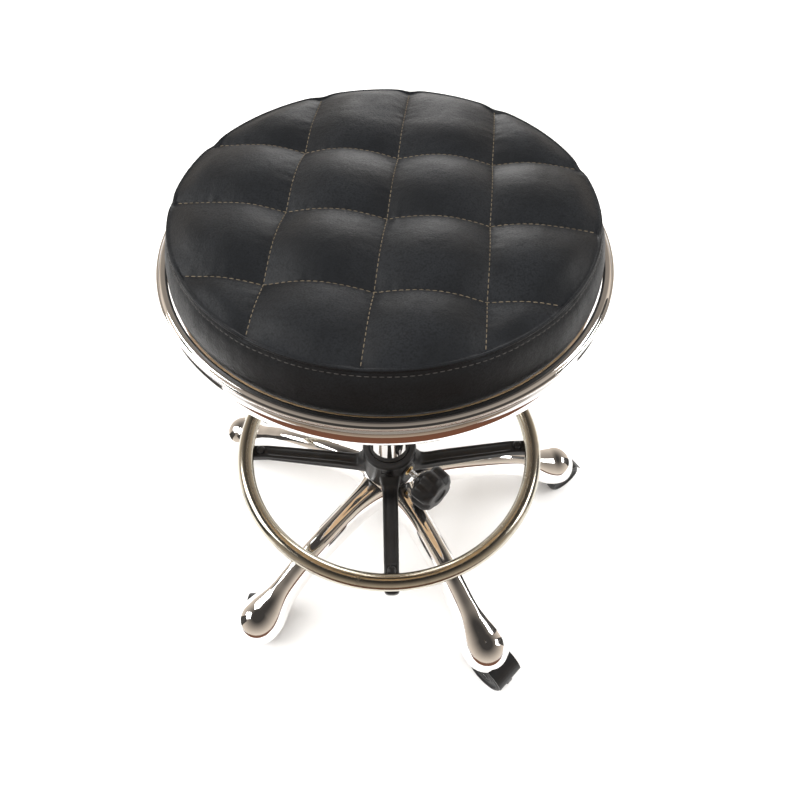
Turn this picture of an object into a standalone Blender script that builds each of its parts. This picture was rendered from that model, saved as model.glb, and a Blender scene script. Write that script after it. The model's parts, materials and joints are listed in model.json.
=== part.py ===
"""Adjustable swivel stool: a round padded seat on a gas lift, a clamped foot ring and a five-star base.

Metres, +Z up. The origin is on the floor under the column, and -Y is the side that faces a viewer.
Every piece is its own object. Moving pieces hang under an empty that stands on their joint's axis.
"""

import math

import bmesh
import bpy
from mathutils import Matrix, Vector

GAP = 0.0003  # clearance between pieces that touch or rest on each other

# Casters
WHEEL_RADIUS = 0.025
WHEEL_WIDTH = 0.0140
WHEEL_BORE_WALL = 0.004
FORK_WEB = 0.0080  # thickness of the housing's middle plate
CASTER_TRAIL = 0.018  # from the swivel axis to the axle
AXLE_RADIUS = 0.003
HOOD_CLEARANCE = 0.0013
HOOD_THICKNESS = 0.0018
WHEEL_SIDE_CLEARANCE = 0.0008
STEM_RADIUS = 0.0055
STEM_LENGTH = 0.020
STEM_FLANGE_RADIUS = 0.0085
STEM_FLANGE_THICKNESS = 0.0018
PIVOT_RADIUS = 0.004  # lower end of the stem, which the housing turns on
PIVOT_LENGTH = 0.015
CASTER_HEADINGS = (32.0, 60.0, 75.0, 92.0, -47.0)  # degrees, the way each caster trails

# Base
LEG_COUNT = 5
FIRST_LEG = 10.1  # degrees
BASE_RADIUS = 0.2377  # column axis to caster axis
DOME_RADIUS = 0.0285
DOME_SKIRT = 0.0031  # the dome reaches this far below its socket
DOME_WALL = 0.0025
SOCKET_FACE_Z = 2 * WHEEL_RADIUS + 0.0083
LEG_HALF_WIDTH = 0.0165
LEG_WALL = 0.004  # the legs are open shells from below
BASE_HUB_WALL = 0.009
BASE_HUB_BOTTOM = 0.070
BASE_HUB_TOP = 0.136
LEG_ROOT_TOP = BASE_HUB_TOP - 0.001
LEG_ROOT_HEIGHT = 0.034

# Gas lift
COLUMN_RADIUS = 0.025
COLUMN_WALL = 0.0015
COLUMN_TOP = 0.335
COLUMN_FLOOR_THICKNESS = 0.004
TAPER_LENGTH = 0.030
TAPER_DROP = 0.0010  # radius lost over the taper
LIFT_TUBE_RADIUS = 0.014
LIFT_TUBE_WALL = 0.002
LIFT_TUBE_DROP = 0.0215  # from the seat board down to the top of the lift tube
LIFT_TUBE_BOTTOM = 0.195
LIFT_PLUG_LENGTH = 0.025
BUSH_LENGTH = 0.090
ROD_RADIUS = 0.005
ROD_END_RADIUS = 0.004
ROD_TOP = 0.322
PISTON_LENGTH = 0.010
BEARING_RADIUS = 0.0105
BEARING_HEIGHT = 0.0065
RELEASE_PIN_RADIUS = 0.003
RELEASE_PIN_STANDOFF = 0.0035

# Foot ring
FOOT_RING_RADIUS = 0.1753  # axis of the tube
FOOT_TUBE_RADIUS = 0.0095
FOOT_RING_RISE = 0.0053  # from the hub's top to the axis of the tube
FOOT_HUB_WALL = 0.008  # from the column to the hub's outside
FOOT_HUB_BOTTOM = BASE_HUB_TOP + 0.0035
FOOT_HUB_TOP = FOOT_HUB_BOTTOM + 0.0465
LINER_WALL = 0.0025
LINER_FLANGE = 0.0015
LINER_SPLIT = 0.002
SPOKE_COUNT = 4
SPOKE_ROOT_WIDTH = 0.020
SPOKE_TIP_WIDTH = 0.017
SPOKE_ROOT_DEPTH = 0.018
SPOKE_TIP_DEPTH = 0.012
CRADLE_RISE = 0.006
SCREW_RADIUS = 0.002
SCREW_HEAD_RADIUS = 0.0042
CLAMP_AZIMUTH = -45.0  # degrees
CLAMP_Z = (FOOT_HUB_BOTTOM + FOOT_HUB_TOP) / 2 + 0.00275
STUD_RADIUS = 0.004
INSERT_RADIUS = 0.0065
KNOB_RADIUS = 0.0275
KNOB_STANDOFF = 0.015  # bare stud between the hub and the knob
KNOB_NECK = 0.007
KNOB_THICKNESS = 0.028
KNOB_LOBES = 6

# Seat
SEAT_HEIGHT = 0.5568  # floor to the crown of the cushion
SEAT_RING_RADIUS = 0.190
SEAT_RING_HEIGHT = 0.0215
SEAT_RING_WIDTH = 0.0116
SEAT_DEPTH = 0.0578  # from the seam down to the bottom of the ring
SEAM_INSET = 0.0105  # how far the cushion's side leans in, from the ring's inside
BOARD_THICKNESS = 0.012
BOARD_RECESS = 0.004
CROWN = 0.009
PLATE_SIDE = 0.150
PLATE_THICKNESS = 0.0025
SOCKET_RADIUS = 0.020
SOCKET_LENGTH = 0.050
BOLT_SPACING = 0.110
BOLT_RADIUS = 0.003
BOLT_HEAD_RADIUS = 0.0055
BOLT_HEAD_HEIGHT = 0.004
LEVER_RADIUS = 0.004
LEVER_PIVOT_Y = 0.032
LEVER_REACH = 0.165
GRIP_LENGTH = 0.060
GRIP_RADIUS = 0.0075
LEVER_PIN_RADIUS = 0.0025
EAR_THICKNESS = 0.003
LEVER_BOSS_RADIUS = 0.007
LEVER_BOSS_WIDTH = 0.010
LEVER_DROOP = 8.0  # degrees that the outer rod falls
LEVER_SWING = 5.0  # degrees that it lifts

FINISHES = {
    "chrome": ((0.80, 0.80, 0.80), 0.06, 1.0),
    "satin_tube": ((0.56, 0.52, 0.42), 0.22, 1.0),
    "black_plastic": ((0.018, 0.018, 0.019), 0.42, 0.0),
    "nylon": ((0.02, 0.02, 0.022), 0.55, 0.0),
    "tyre": ((0.03, 0.03, 0.032), 0.60, 0.0),
    "steel": ((0.50, 0.51, 0.53), 0.30, 1.0),
    "zinc": ((0.62, 0.63, 0.66), 0.28, 1.0),
    "brass": ((0.70, 0.55, 0.25), 0.30, 1.0),
    "plywood": ((0.55, 0.40, 0.25), 0.70, 0.0),
    "black_steel": ((0.03, 0.03, 0.03), 0.45, 0.0),
    "faux_leather": ((0.020, 0.023, 0.028), 0.45, 0.0),
}


# Modelling tools


def clear_scene():
    for item in list(bpy.data.objects):
        bpy.data.objects.remove(item, do_unlink=True)


def finish(name):
    """The Principled material of one of the named finishes."""
    material = bpy.data.materials.get(name)
    if material:
        return material
    colour, roughness, metallic = FINISHES[name]
    material = bpy.data.materials.new(name)
    material.use_nodes = True
    shader = material.node_tree.nodes["Principled BSDF"]
    shader.inputs["Base Color"].default_value = (*colour, 1.0)
    shader.inputs["Roughness"].default_value = roughness
    shader.inputs["Metallic"].default_value = metallic
    return material


def to_object(name, mesh, material):
    """Turn a bmesh into an object with outward faces, smooth sides and one finish."""
    bmesh.ops.recalc_face_normals(mesh, faces=mesh.faces)
    data = bpy.data.meshes.new(name)
    mesh.to_mesh(data)
    mesh.free()
    data.shade_smooth()
    data.set_sharp_from_angle(angle=math.radians(35))
    data.materials.append(finish(material))
    made = bpy.data.objects.new(name, data)
    bpy.context.scene.collection.objects.link(made)
    return made


def skin(mesh, first, second):
    """Join two loops of vertices with faces. A loop of one vertex makes a fan."""
    count = max(len(first), len(second))
    for i in range(count):
        j = (i + 1) % count
        corners = [first[i % len(first)], first[j % len(first)], second[j % len(second)],
                   second[i % len(second)]]
        corners = [v for k, v in enumerate(corners) if v not in corners[:k]]
        if len(corners) > 2:
            mesh.faces.new(corners)


def lathe(name, outline, steps, material, radius_at=None):
    """Turn a closed outline of (radius, height) about Z. radius_at scales the radius by angle."""
    mesh = bmesh.new()
    loops = []
    for radius, height in outline:
        if radius == 0:
            loops.append([mesh.verts.new((0, 0, height))])
            continue
        loop = []
        for k in range(steps):
            angle = 2 * math.pi * k / steps
            reach = radius * (radius_at(angle) if radius_at else 1)
            loop.append(mesh.verts.new((reach * math.cos(angle), reach * math.sin(angle), height)))
        loops.append(loop)
    for loop, after in zip(loops, loops[1:] + loops[:1]):
        if len(loop) > 1 or len(after) > 1:
            skin(mesh, loop, after)
    return to_object(name, mesh, material)


def loft(name, sections, material):
    """Skin a row of equal loops of points and cap both ends."""
    mesh = bmesh.new()
    loops = [[mesh.verts.new(point) for point in section] for section in sections]
    for loop, after in zip(loops, loops[1:]):
        skin(mesh, loop, after)
    mesh.faces.new(loops[0])
    mesh.faces.new(loops[-1])
    return to_object(name, mesh, material)


def prism(name, outline, low, high, material):
    """Extrude an outline of (x, y) from z = low to z = high."""
    return loft(name, [[(x, y, z) for x, y in outline] for z in (low, high)], material)


def arc(radius, start, end, count, centre=(0.0, 0.0)):
    """Points along an arc, in degrees, both ends included."""
    points = []
    for k in range(count):
        angle = math.radians(start + (end - start) * k / (count - 1))
        points.append((centre[0] + radius * math.cos(angle), centre[1] + radius * math.sin(angle)))
    return points


def rounded_rectangle(length, width, radius, count=4):
    half_x, half_y = length / 2 - radius, width / 2 - radius
    points = []
    for sx, sy, start in ((1, 1, 0), (-1, 1, 90), (-1, -1, 180), (1, -1, 270)):
        points += arc(radius, start, start + 90, count, (sx * half_x, sy * half_y))
    return points


def combine(target, tool, operation="UNION"):
    """Join or cut with the Boolean modifier, apply it, and drop the tool."""
    modifier = target.modifiers.new(operation.title(), "BOOLEAN")
    modifier.operation = operation
    modifier.solver = "EXACT"
    modifier.object = tool
    bpy.context.view_layer.update()
    graph = bpy.context.evaluated_depsgraph_get()
    data = bpy.data.meshes.new_from_object(target.evaluated_get(graph))
    target.modifiers.clear()
    target.data = data
    data.shade_smooth()
    data.set_sharp_from_angle(angle=math.radians(35))
    bpy.data.objects.remove(tool, do_unlink=True)
    return target


def drill(target, radius, start, end, steps=16):
    """Cut a round hole from the point start to the point end."""
    start, end = Vector(start), Vector(end)
    tool = lathe("drill", [(0, 0), (radius, 0), (radius, (end - start).length), (0, (end - start).length)],
                 steps, "steel")
    turn = Vector((0, 0, 1)).rotation_difference(end - start).to_matrix().to_4x4()
    tool.data.transform(Matrix.Translation(start) @ turn)
    return combine(target, tool, "DIFFERENCE")


def empty(name, parent=None, location=(0, 0, 0), rotation=(0, 0, 0)):
    made = bpy.data.objects.new(name, None)
    bpy.context.scene.collection.objects.link(made)
    return put(made, parent, location, rotation)


def put(item, parent, location=(0, 0, 0), rotation=(0, 0, 0)):
    item.parent = parent
    item.location = location
    item.rotation_euler = rotation
    return item


def washer(name, inner, outer, low, high, steps, material):
    return lathe(name, [(inner, low), (outer, low), (outer, high), (inner, high)], steps, material)


# Casters

WHEEL_OFFSET = FORK_WEB / 2 + WHEEL_SIDE_CLEARANCE + WHEEL_WIDTH / 2
HOOD_INNER = WHEEL_RADIUS + HOOD_CLEARANCE
HOOD_OUTER = HOOD_INNER + HOOD_THICKNESS
HOOD_WIDTH = 2 * (WHEEL_OFFSET + WHEEL_WIDTH / 2)
FLANGE_TOP = SOCKET_FACE_Z - GAP
FLANGE_BOTTOM = FLANGE_TOP - STEM_FLANGE_THICKNESS
BOSS_TOP = FLANGE_BOTTOM - GAP
BOSS_RADIUS = PIVOT_RADIUS + 0.0055


def caster_stem(name):
    """The pressed-in stem: a pin, a flange under the leg's socket and the housing's pivot."""
    outline = [
        (0, BOSS_TOP - PIVOT_LENGTH), (PIVOT_RADIUS, BOSS_TOP - PIVOT_LENGTH),
        (PIVOT_RADIUS, FLANGE_BOTTOM),
        (STEM_FLANGE_RADIUS, FLANGE_BOTTOM), (STEM_FLANGE_RADIUS, FLANGE_TOP), (STEM_RADIUS, FLANGE_TOP),
        (STEM_RADIUS, FLANGE_TOP + STEM_LENGTH), (0, FLANGE_TOP + STEM_LENGTH),
    ]
    return lathe(name, outline, 10, "zinc")


def caster_housing(name):
    """Middle web, hood over both wheels and swivel boss, in one moulding. The boss is at the origin."""
    axle = (CASTER_TRAIL, WHEEL_RADIUS)
    web = [(axle[0] + x, axle[1] + y) for x, y in arc(HOOD_INNER + 0.0005, -8, 188, 10)]
    web += [(axle[0] + x, axle[1] + y) for x, y in arc(0.009, 205, 335, 4)]
    body = prism(name, web, -FORK_WEB / 2, FORK_WEB / 2, "black_plastic")
    ends = (30, 150)
    hood = arc(HOOD_OUTER, *ends, 9) + arc(HOOD_INNER, ends[1], ends[0], 9)
    hood = [(axle[0] + x, axle[1] + y) for x, y in hood]
    combine(body, prism("hood", hood, -HOOD_WIDTH / 2, HOOD_WIDTH / 2, "black_plastic"))
    upright = Matrix.Rotation(math.pi / 2, 4, "X")  # the side outline stands up: its y becomes z
    body.data.transform(upright)
    boss = lathe("boss", [(0, BOSS_TOP - PIVOT_LENGTH - 0.003),
                          (BOSS_RADIUS, BOSS_TOP - PIVOT_LENGTH + 0.001),
                          (BOSS_RADIUS, BOSS_TOP), (0, BOSS_TOP)], 14, "black_plastic")
    combine(body, boss)
    for side in (-1, 1):  # the wheels' tread turns clear of the boss
        tread = washer("tread", 0.0, HOOD_INNER, -0.001, WHEEL_WIDTH + 0.002, 18, "tyre")
        tread.data.transform(Matrix.Translation((CASTER_TRAIL, side * (FORK_WEB / 2), WHEEL_RADIUS))
                             @ Matrix.Rotation(-side * math.pi / 2, 4, "X")
                             @ Matrix.Translation((0, 0, 0.001)))
        combine(body, tread, "DIFFERENCE")
    drill(body, PIVOT_RADIUS + GAP, (0, 0, BOSS_TOP - PIVOT_LENGTH - GAP), (0, 0, BOSS_TOP + 0.01), 10)
    reach = HOOD_WIDTH
    drill(body, AXLE_RADIUS + GAP, (CASTER_TRAIL, -reach, WHEEL_RADIUS),
          (CASTER_TRAIL, reach, WHEEL_RADIUS), 8)
    return body


def caster_wheel(name):
    """One half of the twin wheel, turned about its own axle, with a dished outer face."""
    half = WHEEL_WIDTH / 2
    bore = AXLE_RADIUS + GAP
    hub = bore + WHEEL_BORE_WALL
    outline = [
        (bore, -half), (WHEEL_RADIUS - 0.003, -half), (WHEEL_RADIUS, -half + 0.0025),
        (WHEEL_RADIUS, half - 0.004),
        (WHEEL_RADIUS - 0.0035, half), (WHEEL_RADIUS - 0.007, half - 0.0025), (hub, half - 0.0025),
        (bore, half - 0.001),
    ]
    return lathe(name, outline, 20, "tyre")


def caster_axle(name):
    length = 2 * (WHEEL_OFFSET + WHEEL_WIDTH / 2 - 0.002)
    return lathe(name, [(0, -length / 2), (AXLE_RADIUS, -length / 2), (AXLE_RADIUS, length / 2),
                        (0, length / 2)],
                 10, "zinc")


def make_casters(base):
    """Five casters. Each swivels on its stem, and its two wheels turn on the axle by themselves."""
    for n in range(LEG_COUNT):
        tag = f"caster_{n + 1}"
        azimuth = math.radians(FIRST_LEG + 360 / LEG_COUNT * n)
        place = (BASE_RADIUS * math.cos(azimuth), BASE_RADIUS * math.sin(azimuth), 0)
        put(caster_stem(f"{tag}_stem"), base, place)
        swivel = empty(f"{tag}_swivel", base, place, (0, 0, math.radians(CASTER_HEADINGS[n])))
        put(caster_housing(f"{tag}_housing"), swivel)
        centre = (CASTER_TRAIL, 0, WHEEL_RADIUS)
        put(caster_axle(f"{tag}_axle"), swivel, centre, (math.pi / 2, 0, 0))
        for side, word in ((1, "left"), (-1, "right")):
            wheel_place = (CASTER_TRAIL, side * WHEEL_OFFSET, WHEEL_RADIUS)
            put(caster_wheel(f"{tag}_wheel_{word}"), swivel, wheel_place, (-side * math.pi / 2, 0, 0))


# Base

BASE_HUB_RADIUS = COLUMN_RADIUS + BASE_HUB_WALL
DOME_RIM_Z = SOCKET_FACE_Z - DOME_SKIRT


def leg_section(reach, half_width, top, bottom, count=7):
    """An arch across the leg at a given distance from the column."""
    points = []
    for k in range(count):
        angle = math.pi * k / (count - 1)
        across, up = math.cos(angle), math.sin(angle)
        points.append((reach, half_width * math.copysign(abs(across) ** 0.8, across),
                       bottom + (top - bottom) * up ** 0.75))
    return points


def leg_line():
    """(distance, half width, top, bottom) along one leg, from inside the hub wall to the dome."""
    dome_top = SOCKET_FACE_Z + DOME_RADIUS
    drop = LEG_ROOT_TOP - dome_top
    # share of the leg's length, share of its fall, height and width against the root's
    stations = (
        (0.0, 0.0, 1.0, 1.35), (0.09, 0.01, 1.0, 1.12), (0.22, 0.04, 1.0, 1.0), (0.45, 0.20, 0.92, 1.0),
        (0.62, 0.38, 0.88, 1.0), (0.76, 0.64, 0.95, 1.02), (0.87, 0.86, 0.97, 1.18), (1.0, 1.02, 0.95, 1.5),
    )
    start = BASE_HUB_RADIUS - 0.005
    line = []
    for along, fall, height, width in stations:
        top = LEG_ROOT_TOP - drop * fall
        reach = start + (BASE_RADIUS - start) * along
        bottom = max(top - LEG_ROOT_HEIGHT * height, SOCKET_FACE_Z + 0.001)
        line.append((reach, LEG_HALF_WIDTH * width, top, bottom))
    return line


def leg_hollow():
    """What is cut out of one leg from below: its own arch, one wall thinner, clear of the hub."""
    sections = []
    for reach, half_width, top, bottom in leg_line()[2:-1]:
        arch = leg_section(reach, half_width - LEG_WALL, top - LEG_WALL, bottom + LEG_WALL / 2)
        sections.append([(reach, arch[0][1], bottom - LEG_WALL),
                         *arch, (reach, arch[-1][1], bottom - LEG_WALL)])
    return loft("hollow", sections, "chrome")


def base_star():
    """Hub with a bore for the gas lift, five arched legs and a dome over each caster."""
    outer, bore = BASE_HUB_RADIUS, COLUMN_RADIUS + GAP
    low = bore - TAPER_DROP
    hub = [
        (low, BASE_HUB_BOTTOM), (outer - 0.004, BASE_HUB_BOTTOM), (outer, BASE_HUB_BOTTOM + 0.004),
        (outer, BASE_HUB_TOP - 0.006), (outer - 0.0035, BASE_HUB_TOP), (bore, BASE_HUB_TOP),
        (bore, BASE_HUB_BOTTOM + TAPER_LENGTH),
    ]
    star = lathe("base_star", hub, 24, "chrome")
    rim = DOME_RADIUS - DOME_WALL
    dome = [(0, SOCKET_FACE_Z), (rim, SOCKET_FACE_Z), (rim, DOME_RIM_Z), (DOME_RADIUS, DOME_RIM_Z)]
    dome += [(r, SOCKET_FACE_Z + z) for r, z in arc(DOME_RADIUS, 0, 68, 5)]
    dome.append((0, SOCKET_FACE_Z + DOME_RADIUS))
    for n in range(LEG_COUNT):
        turn = Matrix.Rotation(math.radians(FIRST_LEG + 360 / LEG_COUNT * n), 4, "Z")
        leg = loft("leg", [leg_section(*row) for row in leg_line()], "chrome")
        combine(leg, leg_hollow(), "DIFFERENCE")
        cap = lathe("dome", dome, 16, "chrome")
        cap.data.transform(Matrix.Translation((BASE_RADIUS, 0, 0)))
        combine(leg, cap)
        leg.data.transform(turn)
        combine(star, leg)
    for n in range(LEG_COUNT):
        azimuth = math.radians(FIRST_LEG + 360 / LEG_COUNT * n)
        x, y = BASE_RADIUS * math.cos(azimuth), BASE_RADIUS * math.sin(azimuth)
        drill(star, STEM_RADIUS + GAP, (x, y, SOCKET_FACE_Z - 0.005),
              (x, y, FLANGE_TOP + STEM_LENGTH + GAP), 10)
    return star


# Gas lift

COLUMN_BOTTOM = BASE_HUB_BOTTOM + 0.002
COLUMN_FLOOR = COLUMN_BOTTOM + COLUMN_FLOOR_THICKNESS
COLUMN_INNER = COLUMN_RADIUS - COLUMN_WALL
BUSH_FLANGE = 0.0025
BEARING_BOTTOM = COLUMN_FLOOR + GAP
UPPER_WASHER_BOTTOM = BEARING_BOTTOM + BEARING_HEIGHT + GAP
UPPER_WASHER_TOP = UPPER_WASHER_BOTTOM + 0.0015
ROD_SHOULDER = UPPER_WASHER_TOP + GAP
ROD_BOTTOM = COLUMN_BOTTOM - 0.0065
CLIP_TOP = COLUMN_BOTTOM - GAP
CLIP_THICKNESS = 0.0012
SEAM_Z = SEAT_HEIGHT - CROWN
SEAT_RING_BOTTOM = SEAM_Z - SEAT_DEPTH
BOARD_BOTTOM = SEAT_RING_BOTTOM + BOARD_RECESS
LIFT_TUBE_TOP = BOARD_BOTTOM - LIFT_TUBE_DROP
LIFT_INNER = LIFT_TUBE_RADIUS - LIFT_TUBE_WALL
LIFT_TAPER_START = LIFT_TUBE_TOP - 0.040


def gas_lift(base, rod_axis, seat):
    """Outer column and its bush, the turning rod, and the tube that rises with the seat."""
    low = COLUMN_RADIUS - TAPER_DROP
    hole = ROD_END_RADIUS + 2 * GAP
    column = [
        (hole, COLUMN_BOTTOM), (low, COLUMN_BOTTOM), (COLUMN_RADIUS, BASE_HUB_BOTTOM + TAPER_LENGTH),
        (COLUMN_RADIUS, COLUMN_TOP), (COLUMN_INNER, COLUMN_TOP),
        (COLUMN_INNER, BASE_HUB_BOTTOM + TAPER_LENGTH),
        (low - COLUMN_WALL, COLUMN_FLOOR), (hole, COLUMN_FLOOR),
    ]
    put(lathe("outer_column", column, 28, "chrome"), base)
    bore = LIFT_TUBE_RADIUS + GAP
    bush_radius = COLUMN_INNER - GAP
    bush = [
        (bore, COLUMN_TOP - BUSH_LENGTH), (bush_radius, COLUMN_TOP - BUSH_LENGTH),
        (bush_radius, COLUMN_TOP + GAP),
        (COLUMN_RADIUS - 0.0003, COLUMN_TOP + GAP), (COLUMN_RADIUS - 0.001, COLUMN_TOP + GAP + BUSH_FLANGE),
        (bore, COLUMN_TOP + GAP + BUSH_FLANGE),
    ]
    put(lathe("guide_bush", bush, 24, "nylon"), base)
    put(washer("thrust_bearing", ROD_END_RADIUS + GAP, BEARING_RADIUS, BEARING_BOTTOM,
               BEARING_BOTTOM + BEARING_HEIGHT, 18, "steel"), base)

    put(washer("bearing_washer", ROD_END_RADIUS + GAP, BEARING_RADIUS, UPPER_WASHER_BOTTOM,
               UPPER_WASHER_TOP,
               18, "steel"), rod_axis)
    groove = CLIP_TOP - CLIP_THICKNESS - GAP
    rod = [
        (0, ROD_BOTTOM), (ROD_END_RADIUS, ROD_BOTTOM), (ROD_END_RADIUS, groove),
        (ROD_END_RADIUS - 0.001, groove),
        (ROD_END_RADIUS - 0.001, CLIP_TOP + GAP), (ROD_END_RADIUS, CLIP_TOP + GAP),
        (ROD_END_RADIUS, ROD_SHOULDER),
        (ROD_RADIUS, ROD_SHOULDER), (ROD_RADIUS, ROD_TOP - PISTON_LENGTH - 0.002),
        (ROD_END_RADIUS, ROD_TOP - PISTON_LENGTH - 0.002), (ROD_END_RADIUS, ROD_TOP), (0, ROD_TOP),
    ]
    put(lathe("piston_rod", rod, 14, "steel"), rod_axis)
    piston_low = ROD_TOP - PISTON_LENGTH - 0.002 + GAP
    put(washer("piston", ROD_END_RADIUS + GAP, LIFT_INNER - GAP, piston_low, piston_low + PISTON_LENGTH,
               20, "nylon"), rod_axis)
    put(washer("retaining_clip", ROD_END_RADIUS - 0.001 + GAP, 0.008, CLIP_TOP - CLIP_THICKNESS, CLIP_TOP,
               16, "steel"), rod_axis)

    pin_bore = RELEASE_PIN_RADIUS + GAP
    plug_low = LIFT_TUBE_TOP - LIFT_PLUG_LENGTH
    tube = [
        (LIFT_INNER, LIFT_TUBE_BOTTOM), (LIFT_TUBE_RADIUS, LIFT_TUBE_BOTTOM),
        (LIFT_TUBE_RADIUS, LIFT_TAPER_START),
        (LIFT_TUBE_RADIUS - TAPER_DROP, LIFT_TUBE_TOP), (pin_bore, LIFT_TUBE_TOP), (pin_bore, plug_low),
        (LIFT_INNER, plug_low),
    ]
    put(lathe("lift_tube", tube, 20, "chrome"), seat)
    put(washer("rod_seal", ROD_RADIUS + GAP, LIFT_INNER - GAP, LIFT_TUBE_BOTTOM + 0.001,
               LIFT_TUBE_BOTTOM + 0.013,
               20, "nylon"), seat)


def release_pin(axis):
    """The valve pin that the lever pushes down through the top of the lift tube."""
    low = LIFT_TUBE_TOP - LIFT_PLUG_LENGTH + 0.001
    high = LIFT_TUBE_TOP + RELEASE_PIN_STANDOFF
    put(lathe("release_pin", [(0, low), (RELEASE_PIN_RADIUS, low), (RELEASE_PIN_RADIUS, high), (0, high)],
              12, "steel"), axis)


# Foot ring

LINER_INNER = COLUMN_RADIUS + GAP
LINER_OUTER = LINER_INNER + LINER_WALL
FOOT_HUB_BORE = LINER_OUTER + GAP
CLAMP = math.radians(CLAMP_AZIMUTH)
FOOT_HUB_RADIUS = COLUMN_RADIUS + FOOT_HUB_WALL
INSERT_END = FOOT_HUB_RADIUS + 0.001
KNOB_START = FOOT_HUB_RADIUS + KNOB_STANDOFF
FOOT_RING_Z = FOOT_HUB_TOP + FOOT_RING_RISE
SHOE_LENGTH = 0.003
SHOE_START = LINER_OUTER + GAP
SPOKE_TIP_TOP = FOOT_RING_Z - FOOT_TUBE_RADIUS - GAP


def foot_liner(axis):
    """Split nylon sleeve on the column, flanged above and below the hub."""
    flange = FOOT_HUB_RADIUS - 0.0005
    low, high = FOOT_HUB_BOTTOM - GAP, FOOT_HUB_TOP + GAP
    outline = [
        (LINER_INNER, low - LINER_FLANGE), (flange, low - LINER_FLANGE), (flange, low), (LINER_OUTER, low),
        (LINER_OUTER, high), (flange, high), (flange - 0.001, high + LINER_FLANGE),
        (LINER_INNER, high + LINER_FLANGE),
    ]
    liner = lathe("hub_liner", outline, 24, "nylon")
    slot = prism("slot", [(-LINER_SPLIT / 2, 0.0), (LINER_SPLIT / 2, 0.0), (LINER_SPLIT / 2, 0.05),
                          (-LINER_SPLIT / 2, 0.05)], low - 0.01, high + 0.01, "nylon")
    combine(liner, slot, "DIFFERENCE")
    put(liner, axis)


def spoke_sections():
    """Rounded sections of one spoke along +X, rising from the hub to a cradle under the ring."""
    start = FOOT_HUB_BORE + 0.003
    tip = FOOT_RING_RADIUS + FOOT_TUBE_RADIUS - 0.001
    cradle = FOOT_RING_RADIUS - FOOT_TUBE_RADIUS - 0.012
    root_top = FOOT_HUB_BOTTOM + SPOKE_ROOT_DEPTH
    rows = (
        (start, SPOKE_ROOT_WIDTH * 1.25, root_top + 0.012, FOOT_HUB_BOTTOM + 0.001),
        (FOOT_HUB_RADIUS + 0.004, SPOKE_ROOT_WIDTH * 1.12, root_top + 0.004, FOOT_HUB_BOTTOM + 0.001),
        (FOOT_HUB_RADIUS + 0.012, SPOKE_ROOT_WIDTH, root_top, FOOT_HUB_BOTTOM + 0.003),
        (cradle, SPOKE_TIP_WIDTH, SPOKE_TIP_TOP, SPOKE_TIP_TOP - SPOKE_TIP_DEPTH),
        (FOOT_RING_RADIUS, SPOKE_TIP_WIDTH, SPOKE_TIP_TOP, SPOKE_TIP_TOP - SPOKE_TIP_DEPTH),
        (tip - 0.003, SPOKE_TIP_WIDTH * 0.9, SPOKE_TIP_TOP - 0.0005,
         SPOKE_TIP_TOP - SPOKE_TIP_DEPTH * 0.85),
        (tip, SPOKE_TIP_WIDTH * 0.55, SPOKE_TIP_TOP - 0.003, SPOKE_TIP_TOP - SPOKE_TIP_DEPTH * 0.65),
    )
    sections = []
    for reach, width, top, bottom in rows:
        corner = min(0.004, (top - bottom) * 0.35)
        loop = rounded_rectangle(width, top - bottom, corner, 3)
        sections.append([(reach, y, (top + bottom) / 2 + z) for y, z in loop])
    return sections


def foot_hub():
    """Black moulding: hub, clamp boss and four spokes whose ends cradle the ring."""
    outline = [
        (FOOT_HUB_BORE, FOOT_HUB_BOTTOM), (FOOT_HUB_RADIUS, FOOT_HUB_BOTTOM),
        (FOOT_HUB_RADIUS, FOOT_HUB_TOP - 0.002),
        (FOOT_HUB_RADIUS - 0.0015, FOOT_HUB_TOP), (FOOT_HUB_BORE, FOOT_HUB_TOP),
    ]
    hub = lathe("foot_ring_hub", outline, 24, "black_plastic")
    for n in range(SPOKE_COUNT):
        spoke = loft("spoke", spoke_sections(), "black_plastic")
        inner = FOOT_RING_RADIUS - FOOT_TUBE_RADIUS
        lump = lathe("lump", [(0, SPOKE_TIP_TOP - 0.004), (0.0055, SPOKE_TIP_TOP - 0.004),
                              (0.005, SPOKE_TIP_TOP + CRADLE_RISE - 0.002),
                              (0, SPOKE_TIP_TOP + CRADLE_RISE)],
                     8, "black_plastic")
        lump.data.transform(Matrix.Translation((inner - 0.0065, 0, 0)))
        combine(spoke, lump)
        spoke.data.transform(Matrix.Rotation(2 * math.pi * n / SPOKE_COUNT, 4, "Z"))
        combine(hub, spoke)
    bore = lathe("bore", [(0, FOOT_HUB_BOTTOM - 0.01), (FOOT_HUB_BORE, FOOT_HUB_BOTTOM - 0.01),
                          (FOOT_HUB_BORE, FOOT_HUB_TOP + 0.01),
                          (0, FOOT_HUB_TOP + 0.01)], 24, "black_plastic")
    combine(hub, bore, "DIFFERENCE")
    out = Vector((math.cos(CLAMP), math.sin(CLAMP), 0))
    height = Vector((0, 0, CLAMP_Z))
    drill(hub, INSERT_RADIUS + GAP, height + out * (FOOT_HUB_BORE - 0.006), height + out * 0.05, 16)
    for n in range(SPOKE_COUNT):
        angle = 2 * math.pi * n / SPOKE_COUNT
        x, y = FOOT_RING_RADIUS * math.cos(angle), FOOT_RING_RADIUS * math.sin(angle)
        drill(hub, SCREW_RADIUS + GAP, (x, y, SPOKE_TIP_TOP - 0.03), (x, y, SPOKE_TIP_TOP + 0.01), 8)
    return hub


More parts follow.
